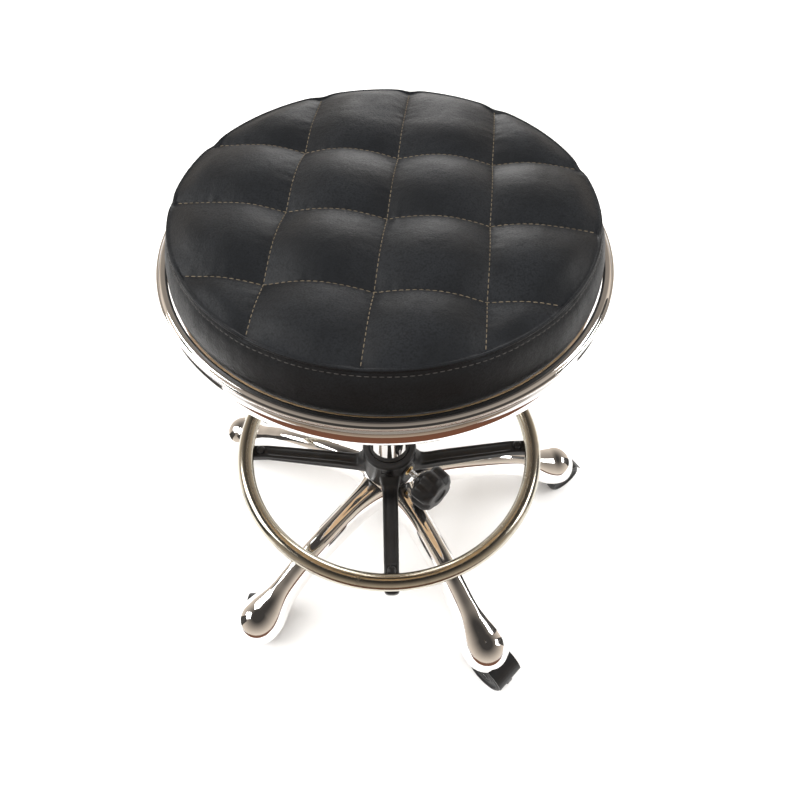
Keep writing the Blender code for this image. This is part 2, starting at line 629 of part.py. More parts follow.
def foot_ring(axis):
    """The ring tube, its hub, the four screws from below and the clamp's threaded insert."""
    section = arc(FOOT_TUBE_RADIUS, 0, 360 - 45, 8, (FOOT_RING_RADIUS, FOOT_RING_Z))
    ring = lathe("foot_ring_tube", section, 44, "satin_tube")
    low = FOOT_RING_Z - FOOT_TUBE_RADIUS
    put(foot_hub(), axis)
    screw_tip = low + 0.004
    for n in range(SPOKE_COUNT):
        angle = 2 * math.pi * n / SPOKE_COUNT
        x, y = FOOT_RING_RADIUS * math.cos(angle), FOOT_RING_RADIUS * math.sin(angle)
        drill(ring, SCREW_RADIUS + GAP, (x, y, low - 0.01), (x, y, screw_tip + GAP), 8)
        head_top = SPOKE_TIP_TOP - SPOKE_TIP_DEPTH - GAP
        outline = [(0, head_top - 0.0022), (SCREW_HEAD_RADIUS - 0.001, head_top - 0.0022),
                   (SCREW_HEAD_RADIUS, head_top - 0.0008), (SCREW_HEAD_RADIUS, head_top),
                   (SCREW_RADIUS, head_top),
                   (SCREW_RADIUS, screw_tip), (0, screw_tip)]
        put(lathe(f"spoke_screw_{n + 1}", outline, 8, "zinc"), axis, (x, y, 0))
    put(ring, axis)
    along = (0, math.pi / 2, CLAMP)  # the turned outline's height runs outward along the clamp axis
    inner, outer = FOOT_HUB_BORE + 0.0005, INSERT_END
    put(washer("threaded_insert", STUD_RADIUS + GAP, INSERT_RADIUS, inner, outer, 14, "brass"),
        axis, (0, 0, CLAMP_Z), along)


def clamp(feed, turn):
    """The brass shoe that only slides, and the stud and knob that turn and push it."""
    along = (0, math.pi / 2, CLAMP)
    centre = (0, 0, CLAMP_Z)
    shoe_end = SHOE_START + SHOE_LENGTH
    shoe = STUD_RADIUS - GAP
    put(lathe("clamp_shoe", [(0, SHOE_START + 0.0002), (shoe, SHOE_START + 0.0008),
                             (shoe, shoe_end), (0, shoe_end)],
              12, "brass"), feed, centre, along)
    stud_start, stud_end = shoe_end + GAP, KNOB_START + 0.016
    outline = [(0, stud_start), (STUD_RADIUS, stud_start), (STUD_RADIUS, stud_end), (0, stud_end)]
    put(lathe("knob_stud", outline, 12, "zinc"), turn, centre, along)
    bore, neck = STUD_RADIUS + GAP, 0.011
    body = KNOB_START + KNOB_NECK
    face = body + KNOB_THICKNESS
    outline = [
        (bore, KNOB_START), (neck, KNOB_START), (neck + 0.001, body), (KNOB_RADIUS - 0.004, body),
        (KNOB_RADIUS, body + 0.004), (KNOB_RADIUS, face - 0.006), (KNOB_RADIUS - 0.006, face - 0.0005),
        (0, face), (0, stud_end + GAP), (bore, stud_end + GAP),
    ]
    knob = lathe("knob", outline, 36, "black_plastic",
                 lambda angle: 1 - 0.055 * (1 - math.cos(KNOB_LOBES * angle)))
    bored = lathe("bore", [(0, KNOB_START - 0.01), (bore, KNOB_START - 0.01), (bore, stud_end + GAP),
                           (0, stud_end + GAP)], 12, "zinc")
    combine(knob, bored, "DIFFERENCE")
    put(knob, turn, centre, along)


# Seat

PLATE_TOP = BOARD_BOTTOM - GAP
PLATE_BOTTOM = PLATE_TOP - PLATE_THICKNESS
SOCKET_TOP = PLATE_BOTTOM - GAP
LEVER_Z = LIFT_TUBE_TOP + RELEASE_PIN_STANDOFF + GAP + LEVER_RADIUS
BOARD_TOP = BOARD_BOTTOM + BOARD_THICKNESS
SEAT_RING_INNER = SEAT_RING_RADIUS - SEAT_RING_WIDTH
BOARD_RADIUS = SEAT_RING_INNER - 0.0014
SEAM_RADIUS = SEAT_RING_INNER - SEAM_INSET


def seat_ring():
    """Stepped chrome band: an inner lip, a bead and a rounded outer wall that rolls under."""
    outer, inner, low = SEAT_RING_RADIUS, SEAT_RING_INNER, SEAT_RING_BOTTOM
    top = low + SEAT_RING_HEIGHT
    outline = [
        (inner, low + 0.002), (inner + 0.004, low), (outer - 0.003, low), (outer - 0.0006, low + 0.0025),
        (outer, low + 0.007), (outer - 0.0012, low + 0.014), (outer - 0.0034, low + 0.0185),
        (outer - 0.0038, top - 0.0008), (outer - 0.0065, top), (inner + 0.0016, top - 0.0006),
        (inner, top - 0.0015),
    ]
    return lathe("seat_ring", outline, 40, "chrome")


def cushion():
    """Foam and cover as one closed form: a leaning side wall, a rim at the seam and a low crown."""
    low = BOARD_TOP + GAP
    side = SEAT_RING_INNER - 0.0006
    outline = [
        (0, low), (side - 0.002, low), (side, low + 0.002), (side, low + 0.008),
        (SEAM_RADIUS + 0.004, SEAM_Z - 0.012), (SEAM_RADIUS, SEAM_Z),
        (SEAM_RADIUS * 0.86, SEAM_Z + CROWN * 0.62),
        (SEAM_RADIUS * 0.45, SEAM_Z + CROWN * 0.95), (0, SEAM_Z + CROWN),
    ]
    return lathe("cushion", outline, 36, "faux_leather")


def mounting_plate():
    """Pressed steel plate with four bolt holes and two ears for the lever's pin."""
    plate = prism("mounting_plate", rounded_rectangle(PLATE_SIDE, PLATE_SIDE, 0.015, 3),
                  PLATE_BOTTOM, PLATE_TOP,
                  "black_steel")
    for side in (-1, 1):
        inner = LEVER_BOSS_WIDTH / 2 + GAP
        low, high = LEVER_Z - 0.0065, PLATE_BOTTOM + 0.001
        near, far = LEVER_PIVOT_Y - 0.0065, LEVER_PIVOT_Y + 0.0065
        edges = sorted((side * inner, side * (inner + EAR_THICKNESS)))
        ear = prism("ear", [(edges[0], near), (edges[1], near), (edges[1], far),
                            (edges[0], far)], low, high,
                    "black_steel")
        combine(plate, ear)
    reach = LEVER_BOSS_WIDTH / 2 + EAR_THICKNESS + 0.01
    drill(plate, LEVER_PIN_RADIUS + GAP, (-reach, LEVER_PIVOT_Y, LEVER_Z),
          (reach, LEVER_PIVOT_Y, LEVER_Z), 10)
    for x, y in bolt_places():
        drill(plate, BOLT_RADIUS + GAP, (x, y, PLATE_BOTTOM - 0.01), (x, y, PLATE_TOP + 0.01), 10)
    return plate


def bolt_places():
    half = BOLT_SPACING / 2
    return [(x, y) for y in (-half, half) for x in (-half, half)]


def taper_socket():
    """Tube under the plate that takes the lift's taper, slotted for the lever."""
    bore_low = LIFT_TUBE_RADIUS + GAP
    bore_high = LIFT_TUBE_RADIUS - TAPER_DROP + GAP
    bottom = SOCKET_TOP - SOCKET_LENGTH
    outline = [
        (bore_low, bottom), (SOCKET_RADIUS, bottom), (SOCKET_RADIUS, SOCKET_TOP), (bore_high, SOCKET_TOP),
        (bore_high, LIFT_TUBE_TOP), (bore_low, LIFT_TAPER_START),
    ]
    if bottom >= LIFT_TAPER_START:
        outline = outline[:-1]
    socket = lathe("taper_socket", outline, 20, "black_steel")
    half = LEVER_RADIUS + 0.0015
    dip = LEVER_PIVOT_Y * math.sin(math.radians(LEVER_SWING))  # how far a pull sinks the inner end
    slot = prism("slot", [(-half, 0), (half, 0), (half, 0.04), (-half, 0.04)],
                 LEVER_Z - LEVER_RADIUS - dip - 0.0005, SOCKET_TOP + 0.01, "steel")
    return combine(socket, slot, "DIFFERENCE")


def lever(axis):
    """Release rod on its pivot: the inner end stands over the valve pin, the outer end carries a grip."""
    inner_end = -LEVER_PIVOT_Y - 0.004
    boss = lathe("lever_rod", [(LEVER_PIN_RADIUS + GAP, -LEVER_BOSS_WIDTH / 2),
                               (LEVER_BOSS_RADIUS, -LEVER_BOSS_WIDTH / 2),
                               (LEVER_BOSS_RADIUS, LEVER_BOSS_WIDTH / 2),
                               (LEVER_PIN_RADIUS + GAP, LEVER_BOSS_WIDTH / 2)],
                 16, "zinc")
    boss.data.transform(Matrix.Rotation(math.pi / 2, 4, "Y"))
    length = LEVER_REACH - LEVER_PIVOT_Y
    outward = Matrix.Rotation(-math.pi / 2 - math.radians(LEVER_DROOP), 4, "X")
    level = Matrix.Rotation(-math.pi / 2, 4, "X")
    for start, end, turn in ((inner_end, -LEVER_BOSS_RADIUS + 0.002, level),
                             (LEVER_BOSS_RADIUS - 0.002, length - 0.004, outward)):
        rod = lathe("rod", [(0, start), (LEVER_RADIUS, start), (LEVER_RADIUS, end), (0, end)], 12, "zinc")
        rod.data.transform(turn)
        combine(boss, rod)
    put(boss, axis)
    low = length - GRIP_LENGTH
    bore = LEVER_RADIUS + GAP
    grip = lathe("lever_grip", [(bore, low), (GRIP_RADIUS - 0.001, low), (GRIP_RADIUS, low + 0.004),
                                (GRIP_RADIUS, length - 0.003), (GRIP_RADIUS - 0.003, length), (0, length),
                                (0, length - 0.004 + GAP),
                                (bore, length - 0.004 + GAP)], 14, "black_plastic")
    grip.data.transform(outward)
    put(grip, axis)


def make_seat(seat, lever_axis):
    board = washer("seat_board", 0.004, BOARD_RADIUS, BOARD_BOTTOM, BOARD_TOP, 32, "plywood")
    bolt_tip = BOARD_TOP - 0.002
    for n, (x, y) in enumerate(bolt_places()):
        drill(board, BOLT_RADIUS + GAP, (x, y, BOARD_BOTTOM - 0.01), (x, y, bolt_tip + GAP), 10)
        head_top = PLATE_BOTTOM - GAP
        outline = [(0, head_top - BOLT_HEAD_HEIGHT), (BOLT_HEAD_RADIUS, head_top - BOLT_HEAD_HEIGHT),
                   (BOLT_HEAD_RADIUS, head_top), (BOLT_RADIUS, head_top), (BOLT_RADIUS, bolt_tip),
                   (0, bolt_tip)]
        put(lathe(f"seat_bolt_{n + 1}", outline, 6, "zinc"), seat, (x, y, 0))
    put(board, seat)
    put(seat_ring(), seat)
    put(cushion(), seat)
    put(mounting_plate(), seat)
    put(taper_socket(), seat)
    ears = LEVER_BOSS_WIDTH / 2 + GAP + EAR_THICKNESS + 0.001
    put(lathe("lever_pin", [(0, -ears), (LEVER_PIN_RADIUS, -ears), (LEVER_PIN_RADIUS, ears),
                            (0, ears)], 10, "steel"),
        seat, (0, LEVER_PIVOT_Y, LEVER_Z), (0, math.pi / 2, 0))
    lever(lever_axis)


def main():
    clear_scene()
    base = empty("base")
    rod_axis = empty("lift_rod_axis", base)
    seat = empty("seat_lift", rod_axis)
    lever_axis = empty("lever_axis", seat, (0, LEVER_PIVOT_Y, LEVER_Z))
    pin_axis = empty("release_pin_axis", seat)
    ring_slide = empty("foot_ring_slide", base)
    ring_turn = empty("foot_ring_turn", ring_slide)
    feed = empty("clamp_feed", ring_turn)
    turn = empty("knob_turn", feed)
    put(base_star(), base)
    make_casters(base)
    gas_lift(base, rod_axis, seat)
    release_pin(pin_axis)
    foot_liner(ring_slide)
    foot_ring(ring_turn)
    clamp(feed, turn)
    make_seat(seat, lever_axis)


main()
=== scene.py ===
"""Finished look of an adjustable swivel stool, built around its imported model.

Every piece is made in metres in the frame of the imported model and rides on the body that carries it.
Each group of pieces has its own operator, and the sizes and colours that a maker would change are
properties of the scene.
"""

import json
import math

import bmesh
import bpy
import numpy as np
from mathutils import Matrix, Vector, noise
from mathutils.bvhtree import BVHTree
from mathutils.geometry import delaunay_2d_cdt


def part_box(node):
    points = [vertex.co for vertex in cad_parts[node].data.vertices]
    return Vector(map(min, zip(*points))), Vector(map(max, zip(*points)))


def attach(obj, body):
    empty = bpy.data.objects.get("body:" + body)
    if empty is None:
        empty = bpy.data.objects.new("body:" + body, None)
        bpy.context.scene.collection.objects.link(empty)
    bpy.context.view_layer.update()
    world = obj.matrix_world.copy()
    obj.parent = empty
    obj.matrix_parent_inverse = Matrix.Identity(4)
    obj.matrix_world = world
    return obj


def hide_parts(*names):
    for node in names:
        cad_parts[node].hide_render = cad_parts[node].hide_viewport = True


bl_info = {
    "name": "Adjustable Swivel Stool",
    "version": (1, 0, 0),
    "blender": (4, 5, 0),
    "location": "3D View > Sidebar > Stool",
    "description": "Builds the finished stool piece by piece around its packed frame",
    "category": "Object",
}

MM = 0.001

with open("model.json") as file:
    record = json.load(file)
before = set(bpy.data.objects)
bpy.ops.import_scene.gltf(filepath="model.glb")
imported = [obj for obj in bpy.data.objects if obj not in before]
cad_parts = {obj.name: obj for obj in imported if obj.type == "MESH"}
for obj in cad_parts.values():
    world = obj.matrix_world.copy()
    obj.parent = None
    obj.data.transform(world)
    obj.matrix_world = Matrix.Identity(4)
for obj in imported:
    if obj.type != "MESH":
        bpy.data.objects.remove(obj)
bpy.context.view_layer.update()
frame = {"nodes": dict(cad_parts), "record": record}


# Places read from the frame


def low_and_high(node):
    """Lowest and highest z of a node."""
    low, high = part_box(node)
    return low.z, high.z


def reach_of(node):
    """Half the width of a round node that stands on the stool's axis."""
    low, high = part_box(node)
    return (high.x - low.x) / 2


def half_height(node):
    """Half the height of a node, which is the radius of one that lies on its side."""
    low, high = low_and_high(node)
    return (high - low) / 2


def middle_of(node):
    low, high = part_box(node)
    return (low + high) / 2


def heading_of(n):
    """Angle about Z in which caster n trails, from its stem to its axle."""
    away = middle_of(f"caster_{n}_axle") - middle_of(f"caster_{n}_stem")
    return math.atan2(away.y, away.x)


CASTERS = range(1, 6)
SPOKES = range(1, 5)
CLAMP_HEADING = math.radians(-45)


# Shader building


class Signal:
    """A shader socket that arithmetic can be written with."""

    def __init__(self, nodes, socket):
        self.nodes = nodes
        self.socket = socket

    def _math(self, operation, first, second):
        return self.nodes.node("ShaderNodeMath", {"operation": operation}, [first, second])

    def __add__(self, other):
        return self._math("ADD", self, other)

    def __radd__(self, other):
        return self._math("ADD", other, self)

    def __sub__(self, other):
        return self._math("SUBTRACT", self, other)

    def __rsub__(self, other):
        return self._math("SUBTRACT", other, self)

    def __mul__(self, other):
        return self._math("MULTIPLY", self, other)

    def __rmul__(self, other):
        return self._math("MULTIPLY", other, self)


class Nodes:
    """The node tree of a material or a world. node() adds any node and returns one of its outputs."""

    def __init__(self, owner):
        owner.use_nodes = True
        self.tree = owner.node_tree

    def node(self, kind, settings=None, sockets=None, output=0):
        made = self.tree.nodes.new(kind)
        for name, value in (settings or {}).items():
            if name == "stops":
                for stop, (position, colour) in zip(made.color_ramp.elements, value):
                    stop.position, stop.color = position, colour
            else:
                setattr(made, name, value)
        pairs = sockets.items() if isinstance(sockets, dict) else enumerate(sockets or [])
        for key, value in pairs:
            self.feed(made.inputs[key], value)
        return Signal(self, made.outputs[output])

    def feed(self, socket, value):
        if isinstance(value, Signal):
            self.tree.links.new(value.socket, socket)
        else:
            socket.default_value = value


class Finish(Nodes):
    """One material and its shader."""

    def __init__(self, name, roughness=0.5, metallic=0.0, coat=0.0, coat_roughness=0.03, specular=0.5):
        self.material = bpy.data.materials.new(name)
        super().__init__(self.material)
        self.shader = self.tree.nodes["Principled BSDF"]
        self.set("Roughness", roughness)
        self.set("Metallic", metallic)
        self.set("Coat Weight", coat)
        self.set("Coat Roughness", coat_roughness)
        self.set("Specular IOR Level", specular)
        self.here = self.node("ShaderNodeTexCoord", output="Object")

    def set(self, socket, value):
        self.feed(self.shader.inputs[socket], value)

    def speckle(self, scale, detail=2.0, where=None):
        """Noise from 0 to 1, this many cells to a metre."""
        return self.node("ShaderNodeTexNoise", None,
                         {"Vector": where or self.here, "Scale": scale, "Detail": detail})

    def cells(self, scale, feature="F1"):
        """Distance to the middle of the nearest cell, this many cells to a metre."""
        return self.node("ShaderNodeTexVoronoi", {"feature": feature}, {"Vector": self.here, "Scale": scale})

    def stretched(self, factors):
        return self.node("ShaderNodeVectorMath", {"operation": "MULTIPLY"}, [self.here, factors])

    def span(self, value, low, high):
        """0 below low, 1 above high, and smooth between."""
        return self.node("ShaderNodeMapRange", {"interpolation_type": "SMOOTHSTEP"}, [value, low, high])

    def blend(self, amount, first, second):
        """One colour where the amount is 0, the other where it is 1."""
        return self.node("ShaderNodeMix", {"data_type": "RGBA"}, {0: amount, 6: first, 7: second}, 2)

    def relief(self, height, distance, strength=1.0, over=None):
        """Bump of the given depth in metres, laid over another if one is given."""
        sockets = {"Height": height, "Distance": distance, "Strength": strength}
        if over:
            sockets["Normal"] = over
        return self.node("ShaderNodeBump", None, sockets)


def tinted(colour, share):
    """The colour made lighter or darker, with full alpha."""
    return (*[min(1.0, part * share) for part in colour], 1.0)


# Finishes


def leather_finish(colours):
    """Black faux leather: pebbled grain with painted shade in the hollows between the pebbles, fine creases
    and a broken soft sheen.
    """
    made = Finish("stool_leather", coat=0.02, coat_roughness=0.36, specular=0.22)
    patches = made.span(made.speckle(26, 3), 0.35, 0.68)
    pebbles = made.cells(820, "SMOOTH_F1")
    pores = made.speckle(2600, 2)
    creases = made.span(made.speckle(150, 5), 0.44, 0.56)
    tone = made.blend(patches, tinted(colours.leather, 0.82), tinted(colours.leather, 1.22))
    # Painted shade: the colour darkens to 0.62 of the leather in the low hollows between the pebbles, where
    # the bump sinks.
    made.set("Base Color", made.blend(made.span(pebbles, 0.25, 0.75), tone, tinted(colours.leather, 0.62)))
    made.set("Roughness", 0.44 + patches * 0.08 + pebbles * 0.14)
    soft = made.relief(creases, 0.18 * MM, 0.35)
    made.set("Normal", made.relief((1 - pebbles) * 0.8 + pores * 0.2, 0.22 * MM, 0.55, soft))
    return made.material


def thread_finish(name, colour):
    """Twisted sewing thread."""
    made = Finish(name, roughness=0.75)
    twist = made.speckle(2400, 2)
    worn = made.span(made.speckle(60, 2), 0.35, 0.65)
    tone = made.blend(worn, tinted(colour, 0.55), tinted(colour, 1.1))
    made.set("Base Color", made.blend(twist, tone, tinted(colour, 0.8)))
    made.set("Normal", made.relief(twist, 0.12 * MM, 0.8))
    return made.material


def chrome_finish(name, colour, polish, wave):
    """Bright plating over pressed steel: smudges, faint ripples and hairline wipe marks."""
    made = Finish(name, metallic=1.0)
    smudges = made.span(made.speckle(34, 4), 0.50, 0.74)
    wipes = made.speckle(700, 2, made.stretched((1.0, 0.12, 1.0)))
    pits = made.span(made.cells(900), 0.02, 0.07)
    tone = made.blend(smudges, tinted(colour, 1.0), tinted(colour, 0.90))
    made.set("Base Color", made.blend(pits, tinted(colour, 0.72), tone))
    made.set("Roughness", polish + smudges * 0.055 + made.span(wipes, 0.45, 0.8) * 0.025)
    made.set("Normal", made.relief(made.speckle(30, 1), wave, 0.25))
    return made.material


def tube_finish(colours):
    """Plated tube polished round its length, with scattered patches of shoe wear."""
    made = Finish("stool_ring_tube", metallic=1.0)
    scuffs = made.span(made.speckle(45, 5), 0.52, 0.70)
    lines = made.speckle(2200, 2, made.stretched((0.25, 0.25, 1.0)))
    tone = made.blend(scuffs, tinted(colours.foot_ring, 1.05), tinted(colours.foot_ring, 0.80))
    streaks = made.span(lines, 0.3, 0.7) * 0.35
    made.set("Base Color", made.blend(streaks, tone, tinted(colours.foot_ring, 0.86)))
    made.set("Roughness", 0.13 + scuffs * 0.12 + lines * 0.05)
    made.set("Normal", made.relief(lines, 0.02 * MM, 0.4))
    return made.material


def moulded_finish(name, colour, roughness, grain):
    """Moulded plastic with a fine spark-eroded grain and faint flow marks."""
    made = Finish(name, specular=0.32)
    texture = made.cells(grain)
    flow = made.span(made.speckle(40, 3), 0.38, 0.66)
    dust = made.span(made.speckle(420, 4), 0.60, 0.78)
    tone = made.blend(flow, tinted(colour, 0.85), tinted(colour, 1.25))
    made.set("Base Color", made.blend(dust * 0.16, tone, tinted(colour, 4.0)))
    made.set("Roughness", roughness + flow * 0.08 + dust * 0.14)
    made.set("Normal", made.relief(texture, 0.06 * MM, 0.5))
    return made.material


def metal_finish(name, colour, roughness, grain, spots=0.8):
    """Plated or bare machine metal with turning lines and dulled patches."""
    made = Finish(name, metallic=1.0)
    dull = made.span(made.speckle(120, 4), 0.42, 0.70)
    lines = made.speckle(grain, 2, made.stretched((0.3, 0.3, 1.0)))
    made.set("Base Color", made.blend(dull, tinted(colour, 1.0), tinted(colour, spots)))
    made.set("Roughness", roughness + dull * 0.12 + lines * 0.06)
    made.set("Normal", made.relief(lines, 0.03 * MM, 0.5))
    return made.material


def powder_finish(colours):
    """Black powder coat with its orange peel."""
    made = Finish("stool_powder_coat", specular=0.5)
    peel = made.speckle(420, 1)
    rubbed = made.span(made.speckle(80, 4), 0.60, 0.76)
    made.set("Base Color", made.blend(rubbed, tinted(colours.plastic, 1.3), tinted(colours.plastic, 3.2)))
    made.set("Roughness", 0.40 + rubbed * 0.18)
    made.set("Normal", made.relief(peel, 0.14 * MM, 0.6))
    return made.material


def plywood_finish(colours):
    """Birch plywood: long face grain, and plies that show on the edge."""
    made = Finish("stool_plywood", roughness=0.68)
    fibres = made.speckle(900, 4, made.stretched((0.035, 1.0, 1.0)))
    rings = made.speckle(60, 3, made.stretched((0.12, 1.0, 1.0)))
    plies = made.span(made.node("ShaderNodeTexWave", {"bands_direction": "Z"},
                                {"Vector": made.here, "Scale": 150.0, "Distortion": 0.5}), 0.35, 0.6)
    bands = made.span(rings, 0.38, 0.62)
    tone = made.blend(bands, tinted(colours.plywood, 0.82), tinted(colours.plywood, 1.15))
    tone = made.blend(made.span(fibres, 0.35, 0.7) * 0.5, tone, tinted(colours.plywood, 0.62))
    made.set("Base Color", made.blend(plies * 0.35, tone, tinted(colours.plywood, 0.55)))
    made.set("Roughness", 0.60 + fibres * 0.18)
    made.set("Normal", made.relief(fibres, 0.10 * MM, 0.6))
    return made.material


def floor_finish(colours):
    """Smooth pale studio floor."""
    made = Finish("studio_floor", roughness=0.62, specular=0.25)
    cloud = made.span(made.speckle(3, 3), 0.3, 0.7)
    made.set("Base Color", made.blend(cloud, tinted(colours.floor, 1.0), tinted(colours.floor, 0.985)))
    return made.material


def finish_called(name):
    """The material of that name, made the first time that it is asked for."""
    known = bpy.data.materials.get(name)
    if known:
        return known
    colours = bpy.context.scene.stool_colours
    makers = {
        "stool_leather": lambda: leather_finish(colours),
        "stool_thread": lambda: thread_finish(name, colours.thread),
        "stool_side_thread": lambda: thread_finish(name, colours.side_thread),
        "stool_chrome": lambda: chrome_finish(name, colours.chrome, 0.035, 0.5 * MM),
        "stool_cast_chrome": lambda: chrome_finish(name, colours.chrome, 0.045, 1.2 * MM),
        "stool_ring_tube": lambda: tube_finish(colours),
        "stool_plastic": lambda: moulded_finish(name, colours.plastic, 0.34, 2600),
        "stool_nylon": lambda: moulded_finish(name, colours.nylon, 0.48, 1800),
        "stool_tread": lambda: moulded_finish(name, colours.tread, 0.52, 1200),
        "stool_steel": lambda: metal_finish(name, colours.steel, 0.24, 2400),
        "stool_zinc": lambda: metal_finish(name, colours.zinc, 0.18, 1800, 0.86),
        "stool_brass": lambda: metal_finish(name, colours.brass, 0.22, 2000),
        "stool_powder_coat": lambda: powder_finish(colours),
        "stool_plywood": lambda: plywood_finish(colours),
        "studio_floor": lambda: floor_finish(colours),
    }
    return makers[name]()


SLOT_FINISHES = {
    "chrome": "stool_chrome", "foot_tube": "stool_ring_tube", "black_plastic": "stool_plastic",
    "nylon": "stool_nylon", "caster_tread": "stool_tread", "steel": "stool_steel", "zinc": "stool_zinc",
    "brass": "stool_brass", "plywood": "stool_plywood", "black_steel": "stool_powder_coat",
    "faux_leather": "stool_leather",
}


# Mesh building


SHARP = 38.0  # degrees between two faces from which their edge stays sharp
KEPT_SHARP = 32.0  # the same for a node that is shown as packed


def smooth_shaded(data, angle=SHARP):
    """Shade a mesh smooth, apart from its sharp edges."""
    data.shade_smooth()
    data.set_sharp_from_angle(angle=math.radians(angle))


def object_from(name, mesh):
    """An object in the scene with the bmesh as its mesh."""
    data = bpy.data.meshes.new(name)
    mesh.to_mesh(data)
    mesh.free()
    made = bpy.data.objects.new(name, data)
    bpy.context.scene.collection.objects.link(made)
    return made


def to_piece(name, mesh, body, slot, nodes=(), finish=None, angle=SHARP):
    """An object from a bmesh, in its finish, riding on a body and standing for some nodes."""
    bmesh.ops.recalc_face_normals(mesh, faces=mesh.faces)
    made = object_from(name, mesh)
    smooth_shaded(made.data, angle)
    made.data.materials.append(finish_called(finish or SLOT_FINISHES[slot]))
    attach(made, body)
    if nodes:
        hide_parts(*nodes)
    return made


def keep_node(node):
    """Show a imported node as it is, in the better finish of its slot."""
    shown = frame["nodes"][node]
    slot = next(row["material_slot"] for row in frame["record"]["subparts"] if row["node"] == node)
    shown.data.materials.clear()
    shown.data.materials.append(finish_called(SLOT_FINISHES[slot]))
    smooth_shaded(shown.data, KEPT_SHARP)


def bridge(mesh, first, second, closed=True):
    """Faces between two rows of vertices. A row of one vertex makes a fan."""
    count = max(len(first), len(second))
    for i in range(count if closed else count - 1):
        j = (i + 1) % count
        corners = [first[i % len(first)], first[j % len(first)]]
        corners += [second[j % len(second)], second[i % len(second)]]
        corners = [v for k, v in enumerate(corners) if v not in corners[:k]]
        if len(corners) > 2:
            mesh.faces.new(corners)


def eased(corners, radius, count=4, closed=True):
    """An outline with its corners rounded. A corner on the axis or at an open end stays sharp."""
    points = []
    for k, corner in enumerate(corners):
        here = Vector(corner)
        if here.x == 0 or (not closed and k in (0, len(corners) - 1)):
            points.append(tuple(here))
            continue
        before, after = Vector(corners[k - 1]), Vector(corners[(k + 1) % len(corners)])
        start = here + (before - here).normalized() * min(radius, (before - here).length * 0.48)
        end = here + (after - here).normalized() * min(radius, (after - here).length * 0.48)
        for step in range(count + 1):
            share = step / count
            points.append(tuple(start.lerp(here, share).lerp(here.lerp(end, share), share)))
    return points


def turn_about(mesh, outline, steps, place=None, shape=None):
    """Add a closed outline of (radius, height) turned about Z, then moved to its place."""
    place = place or Matrix.Identity(4)
    rows = []
    for radius, height in outline:
        if radius == 0:
            rows.append([mesh.verts.new(place @ Vector((0, 0, height)))])
            continue
        row = []
        for k in range(steps):
            angle = 2 * math.pi * k / steps
            out = shape(angle, radius, height) if shape else radius
            row.append(mesh.verts.new(place @ Vector((out * math.cos(angle), out * math.sin(angle), height))))
        rows.append(row)
    for row, after in zip(rows, rows[1:] + rows[:1]):
        if len(row) > 1 or len(after) > 1:
            bridge(mesh, row, after)


def turned(name, outline, steps, body, slot, nodes=(), place=None, shape=None, finish=None, angle=SHARP):
    """A piece whose outline of (radius, height) is turned about Z."""
    mesh = bmesh.new()
    turn_about(mesh, outline, steps, place, shape)
    return to_piece(name, mesh, body, slot, nodes, finish, angle)


def add_loft(mesh, sections, place=None, capped=True, closed=True):
    """Add a skin over a row of equal sections."""
    place = place or Matrix.Identity(4)
    rows = [[mesh.verts.new(place @ Vector(point)) for point in section] for section in sections]
    for row, after in zip(rows, rows[1:]):
        bridge(mesh, row, after, closed)
    if capped:
        mesh.faces.new(rows[0])
        mesh.faces.new(rows[-1])


def flowing(stations, count):
    """Rows of numbers on a smooth curve through the given rows, this many to each stretch."""
    rows = np.array(stations, float)
    held = np.vstack([2 * rows[0] - rows[1], rows, 2 * rows[-1] - rows[-2]])
    found = []
    for k in range(len(rows) - 1):
        a, b, c, d = held[k:k + 4]
        for t in np.arange(count) / count:
            found.append(0.5 * (2 * b + (c - a) * t + (2 * a - 5 * b + 4 * c - d) * t**2
                                + (3 * b - a - 3 * c + d) * t**3))
    found.append(rows[-1])
    return np.array(found)


def about_z(angle):
    return Matrix.Rotation(angle, 4, "Z")


def facing(heading, centre):
    """Place of a turned piece whose axis points outward along a heading."""
    return Matrix.Translation(centre) @ about_z(heading) @ Matrix.Rotation(math.pi / 2, 4, "Y")


def apply_modifiers(made):
    """Make the modifiers of an object part of its mesh."""
    graph = bpy.context.evaluated_depsgraph_get()
    data = bpy.data.meshes.new_from_object(made.evaluated_get(graph))
    made.modifiers.clear()
    made.data = data


def bore(made, radius, low, high, place):
    """Cut a round hole through an object, from low to high along the place's own axis."""
    mesh = bmesh.new()
    turn_about(mesh, [(0, low), (radius, low), (radius, high), (0, high)], 48, place)
    bmesh.ops.recalc_face_normals(mesh, faces=mesh.faces)
    cutter = object_from("cutter", mesh)
    cut = made.modifiers.new("Bore", "BOOLEAN")
    cut.operation = "DIFFERENCE"
    cut.solver = "EXACT"
    cut.object = cutter
    apply_modifiers(made)
    bpy.data.objects.remove(cutter)
    smooth_shaded(made.data)


# Sizes and colours that a maker would change


def length(name, description, default):
    return bpy.props.FloatProperty(name=name, description=description, default=default, unit="LENGTH",
                                   min=0.0, precision=5)


def tint(name, description, default):
    return bpy.props.FloatVectorProperty(name=name, description=description, default=default, size=3,
                                         subtype="COLOR", min=0.0, max=1.0)


